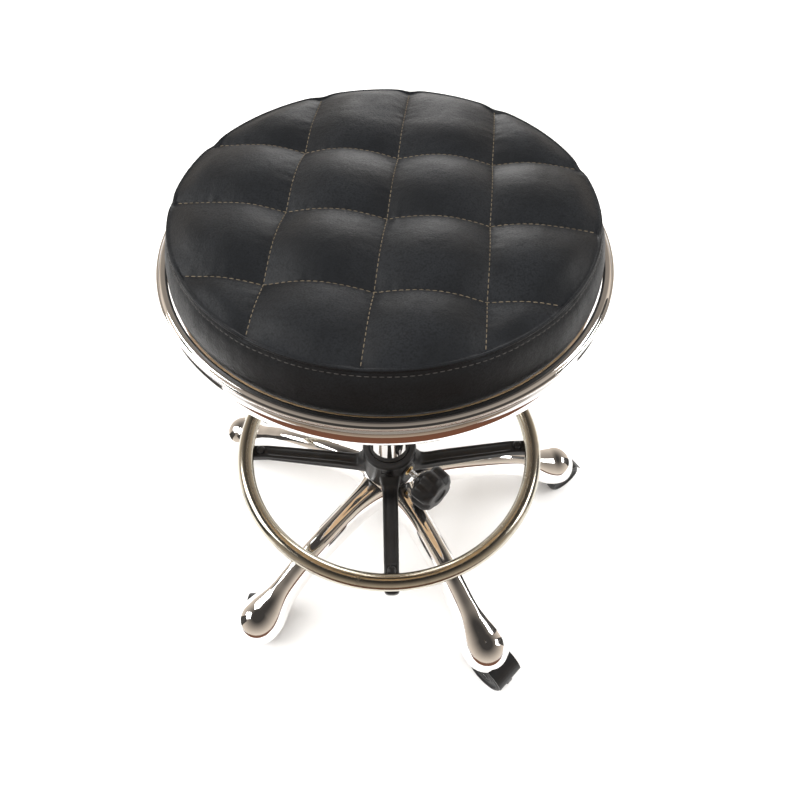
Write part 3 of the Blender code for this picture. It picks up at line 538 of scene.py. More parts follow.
class StoolSizes(bpy.types.PropertyGroup):
    """Sizes of the sewn and moulded detail."""

    quilt_square: length("Quilt square", "Side of one quilted square", 0.0797)
    quilt_turn: bpy.props.FloatProperty(name="Quilt turn", default=math.radians(-7.4), subtype="ANGLE",
                                        description="Turn of the quilting about the column")
    quilt_shift_x: length("Quilt shift X", "Middle of the quilting from the column, to the right", 0.0014)
    quilt_shift_y: bpy.props.FloatProperty(name="Quilt shift Y", default=-0.0163, unit="LENGTH", precision=5,
                                           description="Middle of the quilting from the column, to the back")
    quilt_depth: length("Quilt depth", "How far the crossings of the seams sink", 0.0105)
    seam_depth: length("Seam depth", "How far a seam sinks half way between two crossings", 0.0036)
    quilt_puff: length("Quilt puff", "How far the middle of a square stands up", 0.0048)
    stitch_length: length("Stitch length", "Length of one visible stitch", 0.0034)
    stitch_gap: length("Stitch gap", "Gap between two stitches", 0.0009)
    thread_radius: length("Thread radius", "Radius of the sewing thread", 0.00038)
    thread_pitch: length("Thread pitch", "Pitch of the clamp stud's screw thread", 0.00125)
    leg_shell: length("Leg shell", "Thickness of the pressed legs", 0.0032)


class StoolColours(bpy.types.PropertyGroup):
    """Colours of the finishes."""

    leather: tint("Leather", "Cover of the cushion", (0.0064, 0.0072, 0.0084))
    thread: tint("Thread", "Sewing thread of the quilting", (0.115, 0.092, 0.062))
    side_thread: tint("Side thread", "Sewing thread round the side", (0.042, 0.040, 0.038))
    chrome: tint("Chrome", "Plating of the seat band, column and base", (0.88, 0.87, 0.86))
    foot_ring: tint("Foot ring", "Plating of the foot ring", (0.45, 0.42, 0.35))
    plastic: tint("Plastic", "Hub, spokes, knob and casters", (0.0075, 0.0075, 0.0080))
    nylon: tint("Nylon", "Liner and bushes", (0.016, 0.016, 0.017))
    tread: tint("Tread", "Treads of the wheels", (0.020, 0.020, 0.021))
    steel: tint("Steel", "Bare steel", (0.52, 0.53, 0.55))
    zinc: tint("Zinc", "Zinc-plated fasteners", (0.72, 0.73, 0.74))
    brass: tint("Brass", "Insert and shoe of the clamp", (0.72, 0.52, 0.22))
    plywood: tint("Plywood", "Seat board", (0.50, 0.34, 0.19))
    floor: tint("Floor", "Studio floor", (0.93, 0.93, 0.925))


# Cushion

WELT = 1.1 * MM  # radius of the sewn lip round the top
SEAM_RADIUS = reach_of("cushion") - 9.9 * MM
CUSHION_BOTTOM = low_and_high("cushion")[0]
CROWN = 9.0 * MM
SEAM_Z = low_and_high("cushion")[1] - CROWN
TOP_EDGE = SEAM_RADIUS - 2.2 * MM
RIM_STEPS = 420
QUILT_LINES = (-1, 0, 1)  # in squares from the middle of the quilting
QUILT_REACH = 2.4  # squares from the middle of the quilting to past the lip
QUILT_STEP = 0.055  # widest step of the mesh between two seams, in squares
BESIDE_SEAM = (0.0, 0.005, 0.013, 0.026, 0.045, 0.07)  # mesh lines next to a seam, in squares
FOLD_REACH = 7 * MM  # how far from a seam its small folds die away
CLOTH_STEPS = 20
SEAM_SAMPLE = 0.0045  # step along a quilting seam, in squares
SIDE_SAMPLES = 2600
STITCH_DROP = 4.6 * MM  # from the lip down to the row of stitches round the side


def quilt_place(x, y, sizes):
    """Where a point lies in the quilting, in squares."""
    cos, sin = math.cos(sizes.quilt_turn), math.sin(sizes.quilt_turn)
    dx, dy = x - sizes.quilt_shift_x, y - sizes.quilt_shift_y
    return (dx * cos + dy * sin) / sizes.quilt_square, (dy * cos - dx * sin) / sizes.quilt_square


def quilt_point(u, v, sizes):
    """The point in metres that lies at a place in the quilting."""
    cos, sin = math.cos(sizes.quilt_turn), math.sin(sizes.quilt_turn)
    return (sizes.quilt_shift_x + (u * cos - v * sin) * sizes.quilt_square,
            sizes.quilt_shift_y + (u * sin + v * cos) * sizes.quilt_square)


def off_line(place):
    """Distance to the nearest seam line, in squares."""
    nearest = np.clip(np.round(place), QUILT_LINES[0], QUILT_LINES[-1])
    return np.abs(place - nearest)


def ease(value):
    value = np.clip(value, 0.0, 1.0)
    return value * value * (3 - 2 * value)


def seam_pull(x, y, sizes):
    """1 where a seam meets the lip, falling to 0 beside it."""
    u, v = quilt_place(x, y, sizes)
    near = np.minimum(off_line(u), off_line(v)) * sizes.quilt_square
    return np.exp(-(near / FOLD_REACH) ** 2)


def quilted_height(x, y, sizes):
    """Height of the cover over the top of the cushion. x and y are arrays."""
    u, v = quilt_place(x, y, sizes)
    arch_u, arch_v = (np.sin(np.pi * np.minimum(off_line(place), 0.5)) for place in (u, v))
    rise_u, rise_v = arch_u**0.5, arch_v**0.5
    crossing = -sizes.quilt_depth * (1 - arch_u) * (1 - arch_v)
    lines = -sizes.seam_depth * (arch_u * (1 - rise_v) + arch_v * (1 - rise_u))
    quilt = crossing + lines + sizes.quilt_puff * arch_u * arch_v
    away = np.hypot(x, y)
    inside = ease((SEAM_RADIUS - away) / 0.020)
    notch = -2.8 * MM * seam_pull(x, y, sizes)
    crown = CROWN * (1 - (away / SEAM_RADIUS) ** 5) * 0.86
    return SEAM_Z + crown + quilt * inside + notch * (1 - inside)


def quilt_steps():
    """Places of the mesh lines across the quilting, closer together beside each seam."""
    marks = {round(line + side * step, 4) for line in QUILT_LINES for side in (-1, 1) for step in BESIDE_SEAM}
    marks = sorted(marks | {-QUILT_REACH, QUILT_REACH})
    found = []
    for low, high in zip(marks, marks[1:]):
        count = max(1, math.ceil((high - low) / QUILT_STEP))
        found += [low + (high - low) * k / count for k in range(count)]
    return np.array(found + [marks[-1]])


def side_rows():
    """(radius, height) of the rings of the cushion's lip, side and underside."""
    lip = [(SEAM_RADIUS - 1.3 * MM, SEAM_Z + 0.55 * WELT), (SEAM_RADIUS - 0.4 * MM, SEAM_Z + 0.95 * WELT),
           (SEAM_RADIUS + 0.5 * MM, SEAM_Z + 0.7 * WELT), (SEAM_RADIUS + WELT, SEAM_Z),
           (SEAM_RADIUS + 0.9 * MM, SEAM_Z - 0.8 * MM), (SEAM_RADIUS + 0.35 * MM, SEAM_Z - 1.4 * MM),
           (SEAM_RADIUS + 0.9 * MM, SEAM_Z - 2.3 * MM)]
    stitched = SEAM_Z - STITCH_DROP
    band = [(SEAM_RADIUS + 1.7 * MM, stitched + 0.9 * MM), (SEAM_RADIUS + 1.55 * MM, stitched),
            (SEAM_RADIUS + 2.3 * MM, stitched - 1.0 * MM)]
    foot = reach_of("cushion") - 0.3 * MM
    drop = SEAM_Z - CUSHION_BOTTOM
    wall = [(SEAM_RADIUS + 3.9 * MM, SEAM_Z - 0.20 * drop), (SEAM_RADIUS + 5.7 * MM, SEAM_Z - 0.32 * drop),
            (SEAM_RADIUS + 7.2 * MM, SEAM_Z - 0.45 * drop), (SEAM_RADIUS + 8.3 * MM, SEAM_Z - 0.58 * drop),
            (SEAM_RADIUS + 9.1 * MM, SEAM_Z - 0.70 * drop), (foot, SEAM_Z - 0.82 * drop),
            (foot - 0.6 * MM, CUSHION_BOTTOM + 2.0 * MM), (foot - 3 * MM, CUSHION_BOTTOM + 0.3 * MM),
            (foot - 60 * MM, CUSHION_BOTTOM + 0.3 * MM)]
    return lip + band + wall


def ripple(x, y, z, scale):
    return noise.noise(Vector((x, y, z)) * scale)


def cushion_mesh(sizes):
    """The sewn cover, open underneath: squares that follow the seams, joined to round rings at the lip."""
    steps = quilt_steps()
    u, v = np.meshgrid(steps, steps, indexing="ij")
    x, y = quilt_point(u, v, sizes)
    kept = np.hypot(x, y) < TOP_EDGE - 2.4 * MM
    cells = kept[:-1, :-1] & kept[1:, :-1] & kept[1:, 1:] & kept[:-1, 1:]
    used = np.zeros_like(kept)
    for di in (0, 1):
        for dj in (0, 1):
            used[di:di + cells.shape[0], dj:dj + cells.shape[1]] |= cells
    heights = quilted_height(x, y, sizes)
    mesh = bmesh.new()
    at = {}
    for i, j in zip(*np.nonzero(used)):
        at[i, j] = mesh.verts.new((x[i, j], y[i, j], heights[i, j]))
    for i, j in zip(*np.nonzero(cells)):
        mesh.faces.new((at[i, j], at[i + 1, j], at[i + 1, j + 1], at[i, j + 1]))
    mesh.verts.ensure_lookup_table()
    edge = [e for e in mesh.edges if len(e.link_faces) == 1]
    inner = list({v for e in edge for v in e.verts})
    angles = 2 * math.pi * np.arange(RIM_STEPS) / RIM_STEPS
    rim_x, rim_y = TOP_EDGE * np.cos(angles), TOP_EDGE * np.sin(angles)
    rim = [mesh.verts.new(point) for point in zip(rim_x, rim_y, quilted_height(rim_x, rim_y, sizes))]
    ends = inner + rim
    number = {v: k for k, v in enumerate(ends)}
    held = [(number[e.verts[0]], number[e.verts[1]]) for e in edge]
    held += [(len(inner) + k, len(inner) + (k + 1) % RIM_STEPS) for k in range(RIM_STEPS)]
    flat = [v.co.xy for v in ends]
    _, _, faces, origins, _, _ = delaunay_2d_cdt(flat, held, [], 0, 1e-7)
    for face in faces:
        corners = [ends[origins[k][0]] for k in face]
        middle = sum((v.co for v in corners), Vector()) / len(corners)
        place = quilt_place(middle.x, middle.y, sizes)
        i, j = (int(np.searchsorted(steps, part)) - 1 for part in place)
        if not cells[i, j]:
            mesh.faces.new(corners)
    above = rim
    for radius, height in side_rows():
        row = []
        for angle in angles:
            px, py = radius * math.cos(angle), radius * math.sin(angle)
            slack = ease((SEAM_Z - height) / 0.006) * ease((height - CUSHION_BOTTOM - 0.008) / 0.012)
            waves = 0.0040 * ripple(px, py, height * 0.4, 38) + 0.0016 * ripple(px, py, 0, 150)
            out = 1 + float(slack) * waves
            pull = float(seam_pull(px, py, sizes) * ease((height - SEAM_Z) / (4 * MM) + 1))
            out -= 0.004 * pull
            row.append(mesh.verts.new((px * out, py * out, height - 1.3 * MM * pull)))
        bridge(mesh, above, row)
        above = row
    return mesh


def close_underside(cushion):
    """Fill the flat opening under the cushion, so that the cover is one closed form."""
    mesh = bmesh.new()
    mesh.from_mesh(cushion.data)
    bmesh.ops.holes_fill(mesh, edges=[e for e in mesh.edges if e.is_boundary], sides=0)
    mesh.to_mesh(cushion.data)
    mesh.free()


def inflate(cushion, sizes, cap=4.5 * MM):
    """Blow the cover up as cloth that is held at its seams, moving no point by more than the cap."""
    data = cushion.data
    rest = np.array([v.co for v in data.vertices])
    u, v = quilt_place(rest[:, 0], rest[:, 1], sizes)
    near = np.minimum(off_line(u), off_line(v)) * sizes.quilt_square
    away = np.hypot(rest[:, 0], rest[:, 1])
    hold = np.exp(-(near / (2.2 * MM)) ** 2)
    hold = np.maximum(hold, ease((away - TOP_EDGE + 6 * MM) / (5 * MM)))
    hold[rest[:, 2] < SEAM_Z - 40 * MM] = 1.0
    group = cushion.vertex_groups.new(name="seams")
    for k, weight in enumerate(hold):
        group.add([k], float(weight), "REPLACE")
    cloth = cushion.modifiers.new("Inflate", "CLOTH")
    cloth.settings.quality = 4
    cloth.settings.mass = 0.4
    cloth.settings.tension_stiffness = 25
    cloth.settings.compression_stiffness = 25
    cloth.settings.bending_stiffness = 0.6
    cloth.settings.use_pressure = True
    cloth.settings.uniform_pressure_force = 4
    cloth.settings.vertex_group_mass = "seams"
    cloth.settings.effector_weights.gravity = 0
    cloth.point_cache.frame_start = 1
    cloth.point_cache.frame_end = CLOTH_STEPS
    for step in range(1, CLOTH_STEPS + 1):
        bpy.context.scene.frame_set(step)
    graph = bpy.context.evaluated_depsgraph_get()
    grown = cushion.evaluated_get(graph).to_mesh()
    moved = np.array([v.co for v in grown.vertices]) - rest
    cushion.modifiers.clear()
    bpy.context.scene.frame_set(1)
    reach = np.linalg.norm(moved, axis=1, keepdims=True)
    moved *= np.minimum(1.0, cap / np.maximum(reach, 1e-9))
    data.vertices.foreach_set("co", (rest + moved).ravel())
    cushion.vertex_groups.clear()
    data.update()


def pucker(cushion, sizes):
    """Small folds that run into each seam, and the unevenness of the padding."""
    data = cushion.data
    for vertex in data.vertices:
        x, y, z = vertex.co
        if z < SEAM_Z - 2 * MM or math.hypot(x, y) > TOP_EDGE - 1 * MM:
            continue
        u, v = quilt_place(x, y, sizes)
        to_u, to_v = (float(off_line(part)) * sizes.quilt_square for part in (u, v))
        folds = math.exp(-to_u / FOLD_REACH) * noise.noise(Vector((v * 16, u * 2.2, 3.0)))
        folds += math.exp(-to_v / FOLD_REACH) * noise.noise(Vector((u * 16, v * 2.2, 9.0)))
        calm = min(1.0, min(to_u, to_v) / (1.2 * MM))
        uneven = 0.45 * ripple(x, y, 1.0, 30) + 0.16 * ripple(x, y, 5.0, 90)
        vertex.co.z += (0.75 * folds * calm + uneven) * MM
    data.update()


# (share of the length, lift in thread radii, width in thread radii) along one stitch
STITCH_SHAPE = ((0.0, -1.1, 0.55), (0.14, 0.15, 0.92), (0.5, 0.45, 1.0), (0.86, 0.15, 0.92),
                (1.0, -1.1, 0.55))


def add_stitch(mesh, start, end, normal, radius):
    """One visible stitch: a short thread that rises out of the cover and goes back in."""
    along = (end - start).normalized()
    side = normal.cross(along).normalized()
    rows = []
    for share, lift, width in STITCH_SHAPE:
        centre = start.lerp(end, share) + normal * lift * radius
        row = []
        for k in range(6):
            angle = math.pi * k / 3
            offset = side * math.cos(angle) + normal * math.sin(angle)
            row.append(mesh.verts.new(centre + offset * radius * width))
        rows.append(row)
    for row, after in zip(rows, rows[1:]):
        bridge(mesh, row, after)
    mesh.faces.new(rows[0])
    mesh.faces.new(rows[-1])


def sew_along(mesh, points, sizes):
    """Stitches along a path of (point, normal)."""
    travelled = 0.0
    start = None
    for (point, normal), (after, _) in zip(points, points[1:]):
        if start is None and travelled >= sizes.stitch_gap:
            start, travelled = (point, normal), 0.0
        travelled += (after - point).length
        if start is not None and travelled >= sizes.stitch_length:
            add_stitch(mesh, start[0], after, (start[1] + normal).normalized(), sizes.thread_radius)
            start, travelled = None, 0.0


def quilting_paths(cover, sizes):
    """Where the quilting seams lie on the cover, as rows of (point, normal)."""
    paths = []
    for line in QUILT_LINES:
        for across in (False, True):
            path = []
            for t in np.arange(-QUILT_REACH, QUILT_REACH, SEAM_SAMPLE):
                x, y = quilt_point(*((line, t) if across else (t, line)), sizes)
                if math.hypot(x, y) > TOP_EDGE - 1.0 * MM:
                    continue
                point, normal, _, _ = cover.ray_cast(Vector((x, y, SEAM_Z + 0.05)), Vector((0, 0, -1)))
                if point:
                    path.append((point, Vector((0, 0, 1)).lerp(normal, 0.2).normalized()))
            paths.append(path)
    return paths


def side_path(cover):
    """The row of stitches round the side, just under the lip."""
    path = []
    for angle in np.linspace(0, 2 * math.pi, SIDE_SAMPLES):
        out = Vector((math.cos(angle), math.sin(angle), 0))
        far = out * (SEAM_RADIUS + 0.05) + Vector((0, 0, SEAM_Z - STITCH_DROP))
        point, normal, _, _ = cover.ray_cast(far, -out)
        path.append((point, normal))
    return path


class STOOL_OT_cushion(bpy.types.Operator):
    """Sew the quilted cushion and its stitches"""

    bl_idname = "stool.cushion"
    bl_label = "Cushion"

    def execute(self, context):
        sizes = context.scene.stool_sizes
        cover = cushion_mesh(sizes)
        cushion = to_piece("quilted_cushion", cover, "seat", "faux_leather", ["cushion"], angle=60)
        inflate(cushion, sizes)
        rounded = cushion.modifiers.new("Round", "SUBSURF")
        rounded.levels = rounded.render_levels = 1
        apply_modifiers(cushion)
        close_underside(cushion)
        pucker(cushion, sizes)
        cushion.data.shade_smooth()
        data = cushion.data
        sewn = BVHTree.FromPolygons([v.co for v in data.vertices], [p.vertices for p in data.polygons])
        rows = (("quilting_stitches", quilting_paths(sewn, sizes), "stool_thread"),
                ("side_stitches", [side_path(sewn)], "stool_side_thread"))
        for name, paths, finish in rows:
            thread = bmesh.new()
            for path in paths:
                sew_along(thread, path, sizes)
            to_piece(name, thread, "seat", "faux_leather", finish=finish)
        return {"FINISHED"}


# Seat ring


class STOOL_OT_seat_ring(bpy.types.Operator):
    """Turn the stepped chrome band round the seat"""

    bl_idname = "stool.seat_ring"
    bl_label = "Seat Ring"

    def execute(self, context):
        low, high = low_and_high("seat_ring")
        outer = reach_of("seat_ring")
        inner = reach_of("cushion") + 0.6 * MM
        lip = eased([(inner + 0.2 * MM, high - 6 * MM), (inner + 0.1 * MM, high - 1.2 * MM),
                     (inner + 1.6 * MM, high - 0.1 * MM), (outer - 6.4 * MM, high),
                     (outer - 4.6 * MM, high - 1.5 * MM)], 0.7 * MM, 3, closed=False)
        bead = [(outer - 3.55 * MM + 1.35 * MM * math.cos(a), high - 3.4 * MM + 1.35 * MM * math.sin(a))
                for a in np.radians(np.arange(110, -80, -15))]
        band = eased([(outer - 3.0 * MM, high - 4.9 * MM), (outer - 1.7 * MM, high - 7.4 * MM),
                      (outer - 0.5 * MM, high - 10.5 * MM), (outer, high - 14 * MM),
                      (outer - 0.2 * MM, low + 3.6 * MM), (outer - 1.4 * MM, low + 0.9 * MM),
                      (outer - 3.2 * MM, low), (outer - 5.0 * MM, low + 0.6 * MM),
                      (outer - 5.2 * MM, low + 2.2 * MM)], 1.4 * MM, 3, closed=False)
        back = eased([(outer - 4.0 * MM, low + 2.6 * MM), (outer - 2.2 * MM, low + 4 * MM),
                      (outer - 2.0 * MM, high - 13 * MM), (outer - 5.4 * MM, high - 6 * MM),
                      (inner + 1.6 * MM, high - 7 * MM)], 0.8 * MM, 2, closed=False)
        turned("seat_band", lip + bead + band + back, 288, "seat", "chrome", ["seat_ring"], angle=70)
        return {"FINISHED"}


# Under the seat

LEVER_DROOP = math.radians(8)
GRIP_LENGTH = 60 * MM
GRIP_RADIUS = 7.5 * MM
GRIP_GROOVES = 9
BOLT_HEAD = 5.2 * MM  # half the width of a bolt head


class STOOL_OT_under_seat(bpy.types.Operator):
    """Finish the seat board, plate, bolts, taper socket and release lever"""

    bl_idname = "stool.under_seat"
    bl_label = "Under Seat"

    def execute(self, context):
        for node in ("seat_board", "mounting_plate", "taper_socket", "lever_pin", "release_pin", "rod_seal"):
            keep_node(node)
        self.bolts()
        self.lever()
        return {"FINISHED"}

    def bolts(self):
        """Hexagon heads with a chamfer and a washer face."""
        for n in range(1, 5):
            node = f"seat_bolt_{n}"
            low, high = low_and_high(node)
            centre = middle_of(node)
            face = low_and_high("mounting_plate")[1] - 2.5 * MM
            head = BOLT_HEAD
            outline = [(0, low), (head * 0.80, low), (head, low + 0.9 * MM), (head, face - 1.1 * MM),
                       (head * 1.02, face - 0.9 * MM), (head * 1.02, face - 0.35 * MM),
                       (3 * MM, face - 0.35 * MM), (3 * MM, high), (0, high)]

            def hexagon(angle, radius, height, top=face - 1.0 * MM):
                flat = 1 / math.cos((angle + math.pi / 6) % (math.pi / 3) - math.pi / 6)
                hexed = radius >= head * 0.99 and height < top
                return radius * (0.872 * flat if hexed else 1)

            place = Matrix.Translation((centre.x, centre.y, 0))
            turned(f"plate_bolt_{n}", eased(outline, 0.25 * MM, 2), 48, "seat", "zinc", [node], place,
                   hexagon)

    def lever(self):
        """Bent rod with a soft grip."""
        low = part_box("lever_rod")[0]
        pin = middle_of("lever_pin")
        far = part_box("lever_grip")[1].y
        droop = LEVER_DROOP
        bend = pin.y + 9 * MM
        radius = 4.0 * MM
        path = [Vector((0, low.y, pin.z)), Vector((0, pin.y, pin.z)), Vector((0, bend, pin.z - 0.2 * MM))]
        tip = far - 4.0 * MM
        for share in (0.12, 0.5, 1.0):
            y = bend + (tip - bend) * share
            path.append(Vector((0, y, pin.z - (y - pin.y) * math.tan(droop))))
        points = flowing([tuple(p) for p in path], 6)
        mesh = bmesh.new()
        sections = []
        for k, point in enumerate(points):
            ahead = Vector(points[min(k + 1, len(points) - 1)]) - Vector(points[max(k - 1, 0)])
            ahead.normalize()
            side = Vector((1, 0, 0))
            up = ahead.cross(side).normalized()
            sections.append([Vector(point) + (side * math.cos(a) + up * math.sin(a)) * radius
                             for a in np.linspace(0, 2 * math.pi, 24, endpoint=False)])
        add_loft(mesh, sections)
        boss = [(2.8 * MM, -5 * MM), (7 * MM, -5 * MM), (7 * MM, 5 * MM), (2.8 * MM, 5 * MM)]
        turn_about(mesh, eased(boss, 0.5 * MM), 40,
                   Matrix.Translation(pin) @ Matrix.Rotation(math.pi / 2, 4, "Y"))
        to_piece("release_rod", mesh, "release_lever", "zinc", ["lever_rod"])
        reach = (far - pin.y) / math.cos(droop)
        start = reach - GRIP_LENGTH
        rows = [(4.1 * MM, start + 0.5 * MM), (6.2 * MM, start), (GRIP_RADIUS, start + 4 * MM)]
        for k in range(GRIP_GROOVES):
            z = start + (8 + 4.2 * k) * MM
            rows += [(GRIP_RADIUS, z), (GRIP_RADIUS - 0.6 * MM, z + 0.8 * MM),
                     (GRIP_RADIUS - 0.6 * MM, z + 1.6 * MM), (GRIP_RADIUS, z + 2.4 * MM)]
        rows += [(GRIP_RADIUS, reach - 5 * MM), (6.2 * MM, reach - 1.2 * MM), (3 * MM, reach - 0.2 * MM),
                 (0, reach - 0.2 * MM), (0, start + 0.5 * MM)]
        place = Matrix.Translation(pin) @ Matrix.Rotation(-math.pi / 2 - droop, 4, "X")
        turned("release_grip", eased(rows, 0.5 * MM, 3), 48, "release_lever", "black_plastic",
               ["lever_grip"], place)


# Gas lift


class STOOL_OT_gas_lift(bpy.types.Operator):
    """Turn the chrome column, its bush and the lift tube"""

    bl_idname = "stool.gas_lift"
    bl_label = "Gas Lift"

    def execute(self, context):
        low, high = low_and_high("outer_column")
        outer = reach_of("outer_column")
        wall = [(outer - 5 * MM, low), (outer - 1 * MM, low), (outer, low + 30 * MM), (outer, high - 7 * MM),
                (outer - 0.5 * MM, high - 6 * MM), (outer - 0.5 * MM, high - 5 * MM), (outer, high - 4 * MM),
                (outer, high), (outer - 1.5 * MM, high), (outer - 1.5 * MM, low + 4 * MM),
                (outer - 5 * MM, low + 4 * MM)]
        turned("lift_column", eased(wall, 0.6 * MM, 3), 128, "base", "chrome", ["outer_column"])
        top = low_and_high("guide_bush")[1]
        inner = reach_of("lift_tube") + 0.3 * MM
        bush = [(inner, top - 90 * MM), (outer - 1.8 * MM, top - 90 * MM),
                (outer - 1.8 * MM, high + 0.3 * MM), (outer - 0.3 * MM, high + 0.3 * MM),
                (outer - 1.0 * MM, top), (inner + 1.2 * MM, top), (inner, top - 0.8 * MM)]
        turned("lift_bush", eased(bush, 0.4 * MM, 3), 96, "base", "nylon", ["guide_bush"])
        low, high = low_and_high("lift_tube")
        outer = reach_of("lift_tube")
        tube = [(outer - 2 * MM, low), (outer, low), (outer, high - 40 * MM), (outer - 1 * MM, high),
                (3.3 * MM, high), (3.3 * MM, high - 25 * MM), (outer - 2 * MM, high - 25 * MM)]
        turned("lift_inner_tube", eased(tube, 0.5 * MM, 3), 96, "seat", "chrome", ["lift_tube"])
        for node in ("thrust_bearing", "bearing_washer", "piston_rod", "piston", "retaining_clip"):
            keep_node(node)
        return {"FINISHED"}


# Foot ring

RING_RADIUS = middle_of("spoke_screw_1").x
RING_Z = middle_of("foot_ring_tube").z
RING_TUBE = reach_of("foot_ring_tube") - RING_RADIUS


class STOOL_OT_foot_ring(bpy.types.Operator):
    """Bend the foot ring's tube"""

    bl_idname = "stool.foot_ring"
    bl_label = "Foot Ring"

    def execute(self, context):
        count = 28
        section = [(RING_RADIUS + RING_TUBE * math.cos(a), RING_Z + RING_TUBE * math.sin(a))
                   for a in np.linspace(0, 2 * math.pi, count, endpoint=False)]

        def welded(angle, radius, height):
            """A ground weld at the back, where the tube's ends meet."""
            off = abs(angle - math.radians(128)) * RING_RADIUS
            bulge = 1 + 0.022 * math.exp(-(off / (1.6 * MM)) ** 2)
            return RING_RADIUS + (radius - RING_RADIUS) * bulge

        turned("foot_ring_bar", section, 360, "foot_ring", "foot_tube", ["foot_ring_tube"], shape=welded,
               angle=80)
        return {"FINISHED"}


# Foot ring hub and spokes

HUB_LOW, HUB_HIGH = low_and_high("foot_ring_hub")[0], low_and_high("hub_liner")[1] - 1.8 * MM
HUB_RADIUS = reach_of("hub_liner") + 0.5 * MM
HUB_BORE = reach_of("outer_column") + 3.1 * MM
SPOKE_TOP = RING_Z - RING_TUBE - 0.3 * MM
CLAMP_BORE = 6.8 * MM  # hole through the hub for the threaded insert
RECESS_HEADING = math.radians(-97)
RECESS_DROP = 9.5 * MM  # from the hub's top down to the middle of the recess
RECESS_HALF = (6.5 * MM, 4.4 * MM)
RIB_OFF = 19.5 * MM  # from the hub's middle up or down to a thin rib


def spoke_section(width, top, bottom, flute):
    """A rounded bar with two flutes along its top and one along each side."""
    points = []
    half, tall = width / 2, top - bottom
    for k in range(48):
        angle = 2 * math.pi * k / 48
        cos, sin = math.cos(angle), math.sin(angle)
        y = half * math.copysign(abs(cos) ** 0.45, cos)
        z = tall / 2 * math.copysign(abs(sin) ** 0.45, sin)
        if sin > 0.5:
            z -= flute * (math.exp(-((abs(y) - half * 0.48) / (half * 0.16)) ** 2))
        if abs(cos) > 0.9:
            y -= math.copysign(flute * 0.7 * math.exp(-(z / (tall * 0.16)) ** 2), cos)
        points.append((y, bottom + tall / 2 + z))
    return points


def spoke_stations():
    """(reach, width, top, bottom, flute) along one spoke."""
    tip = RING_RADIUS + RING_TUBE - 1 * MM
    cradle = RING_RADIUS - RING_TUBE - 12 * MM
    root_top = HUB_LOW + 18 * MM
    return [
        (HUB_BORE + 1 * MM, 27 * MM, root_top + 13 * MM, HUB_LOW + 1 * MM, 0.0),
        (HUB_RADIUS + 3 * MM, 22.6 * MM, root_top + 5 * MM, HUB_LOW + 1.2 * MM, 0.0),
        (HUB_RADIUS + 12 * MM, 20 * MM, root_top, HUB_LOW + 3 * MM, 1.1 * MM),
        (HUB_RADIUS + 40 * MM, 19 * MM, root_top + (SPOKE_TOP - root_top) * 0.30, HUB_LOW + 10 * MM,
         1.3 * MM),
        (cradle - 12 * MM, 17.6 * MM, SPOKE_TOP - 2.4 * MM, SPOKE_TOP - 13.8 * MM, 1.3 * MM),
        (cradle, 17 * MM, SPOKE_TOP, SPOKE_TOP - 12 * MM, 0.5 * MM),
        (RING_RADIUS, 17 * MM, SPOKE_TOP, SPOKE_TOP - 12 * MM, 0.0),
        (tip - 3 * MM, 15.6 * MM, SPOKE_TOP - 0.6 * MM, SPOKE_TOP - 10.4 * MM, 0.0),
        (tip - 0.8 * MM, 11 * MM, SPOKE_TOP - 2.0 * MM, SPOKE_TOP - 8.8 * MM, 0.0),
        (tip, 5 * MM, SPOKE_TOP - 4.0 * MM, SPOKE_TOP - 7.4 * MM, 0.0),
    ]


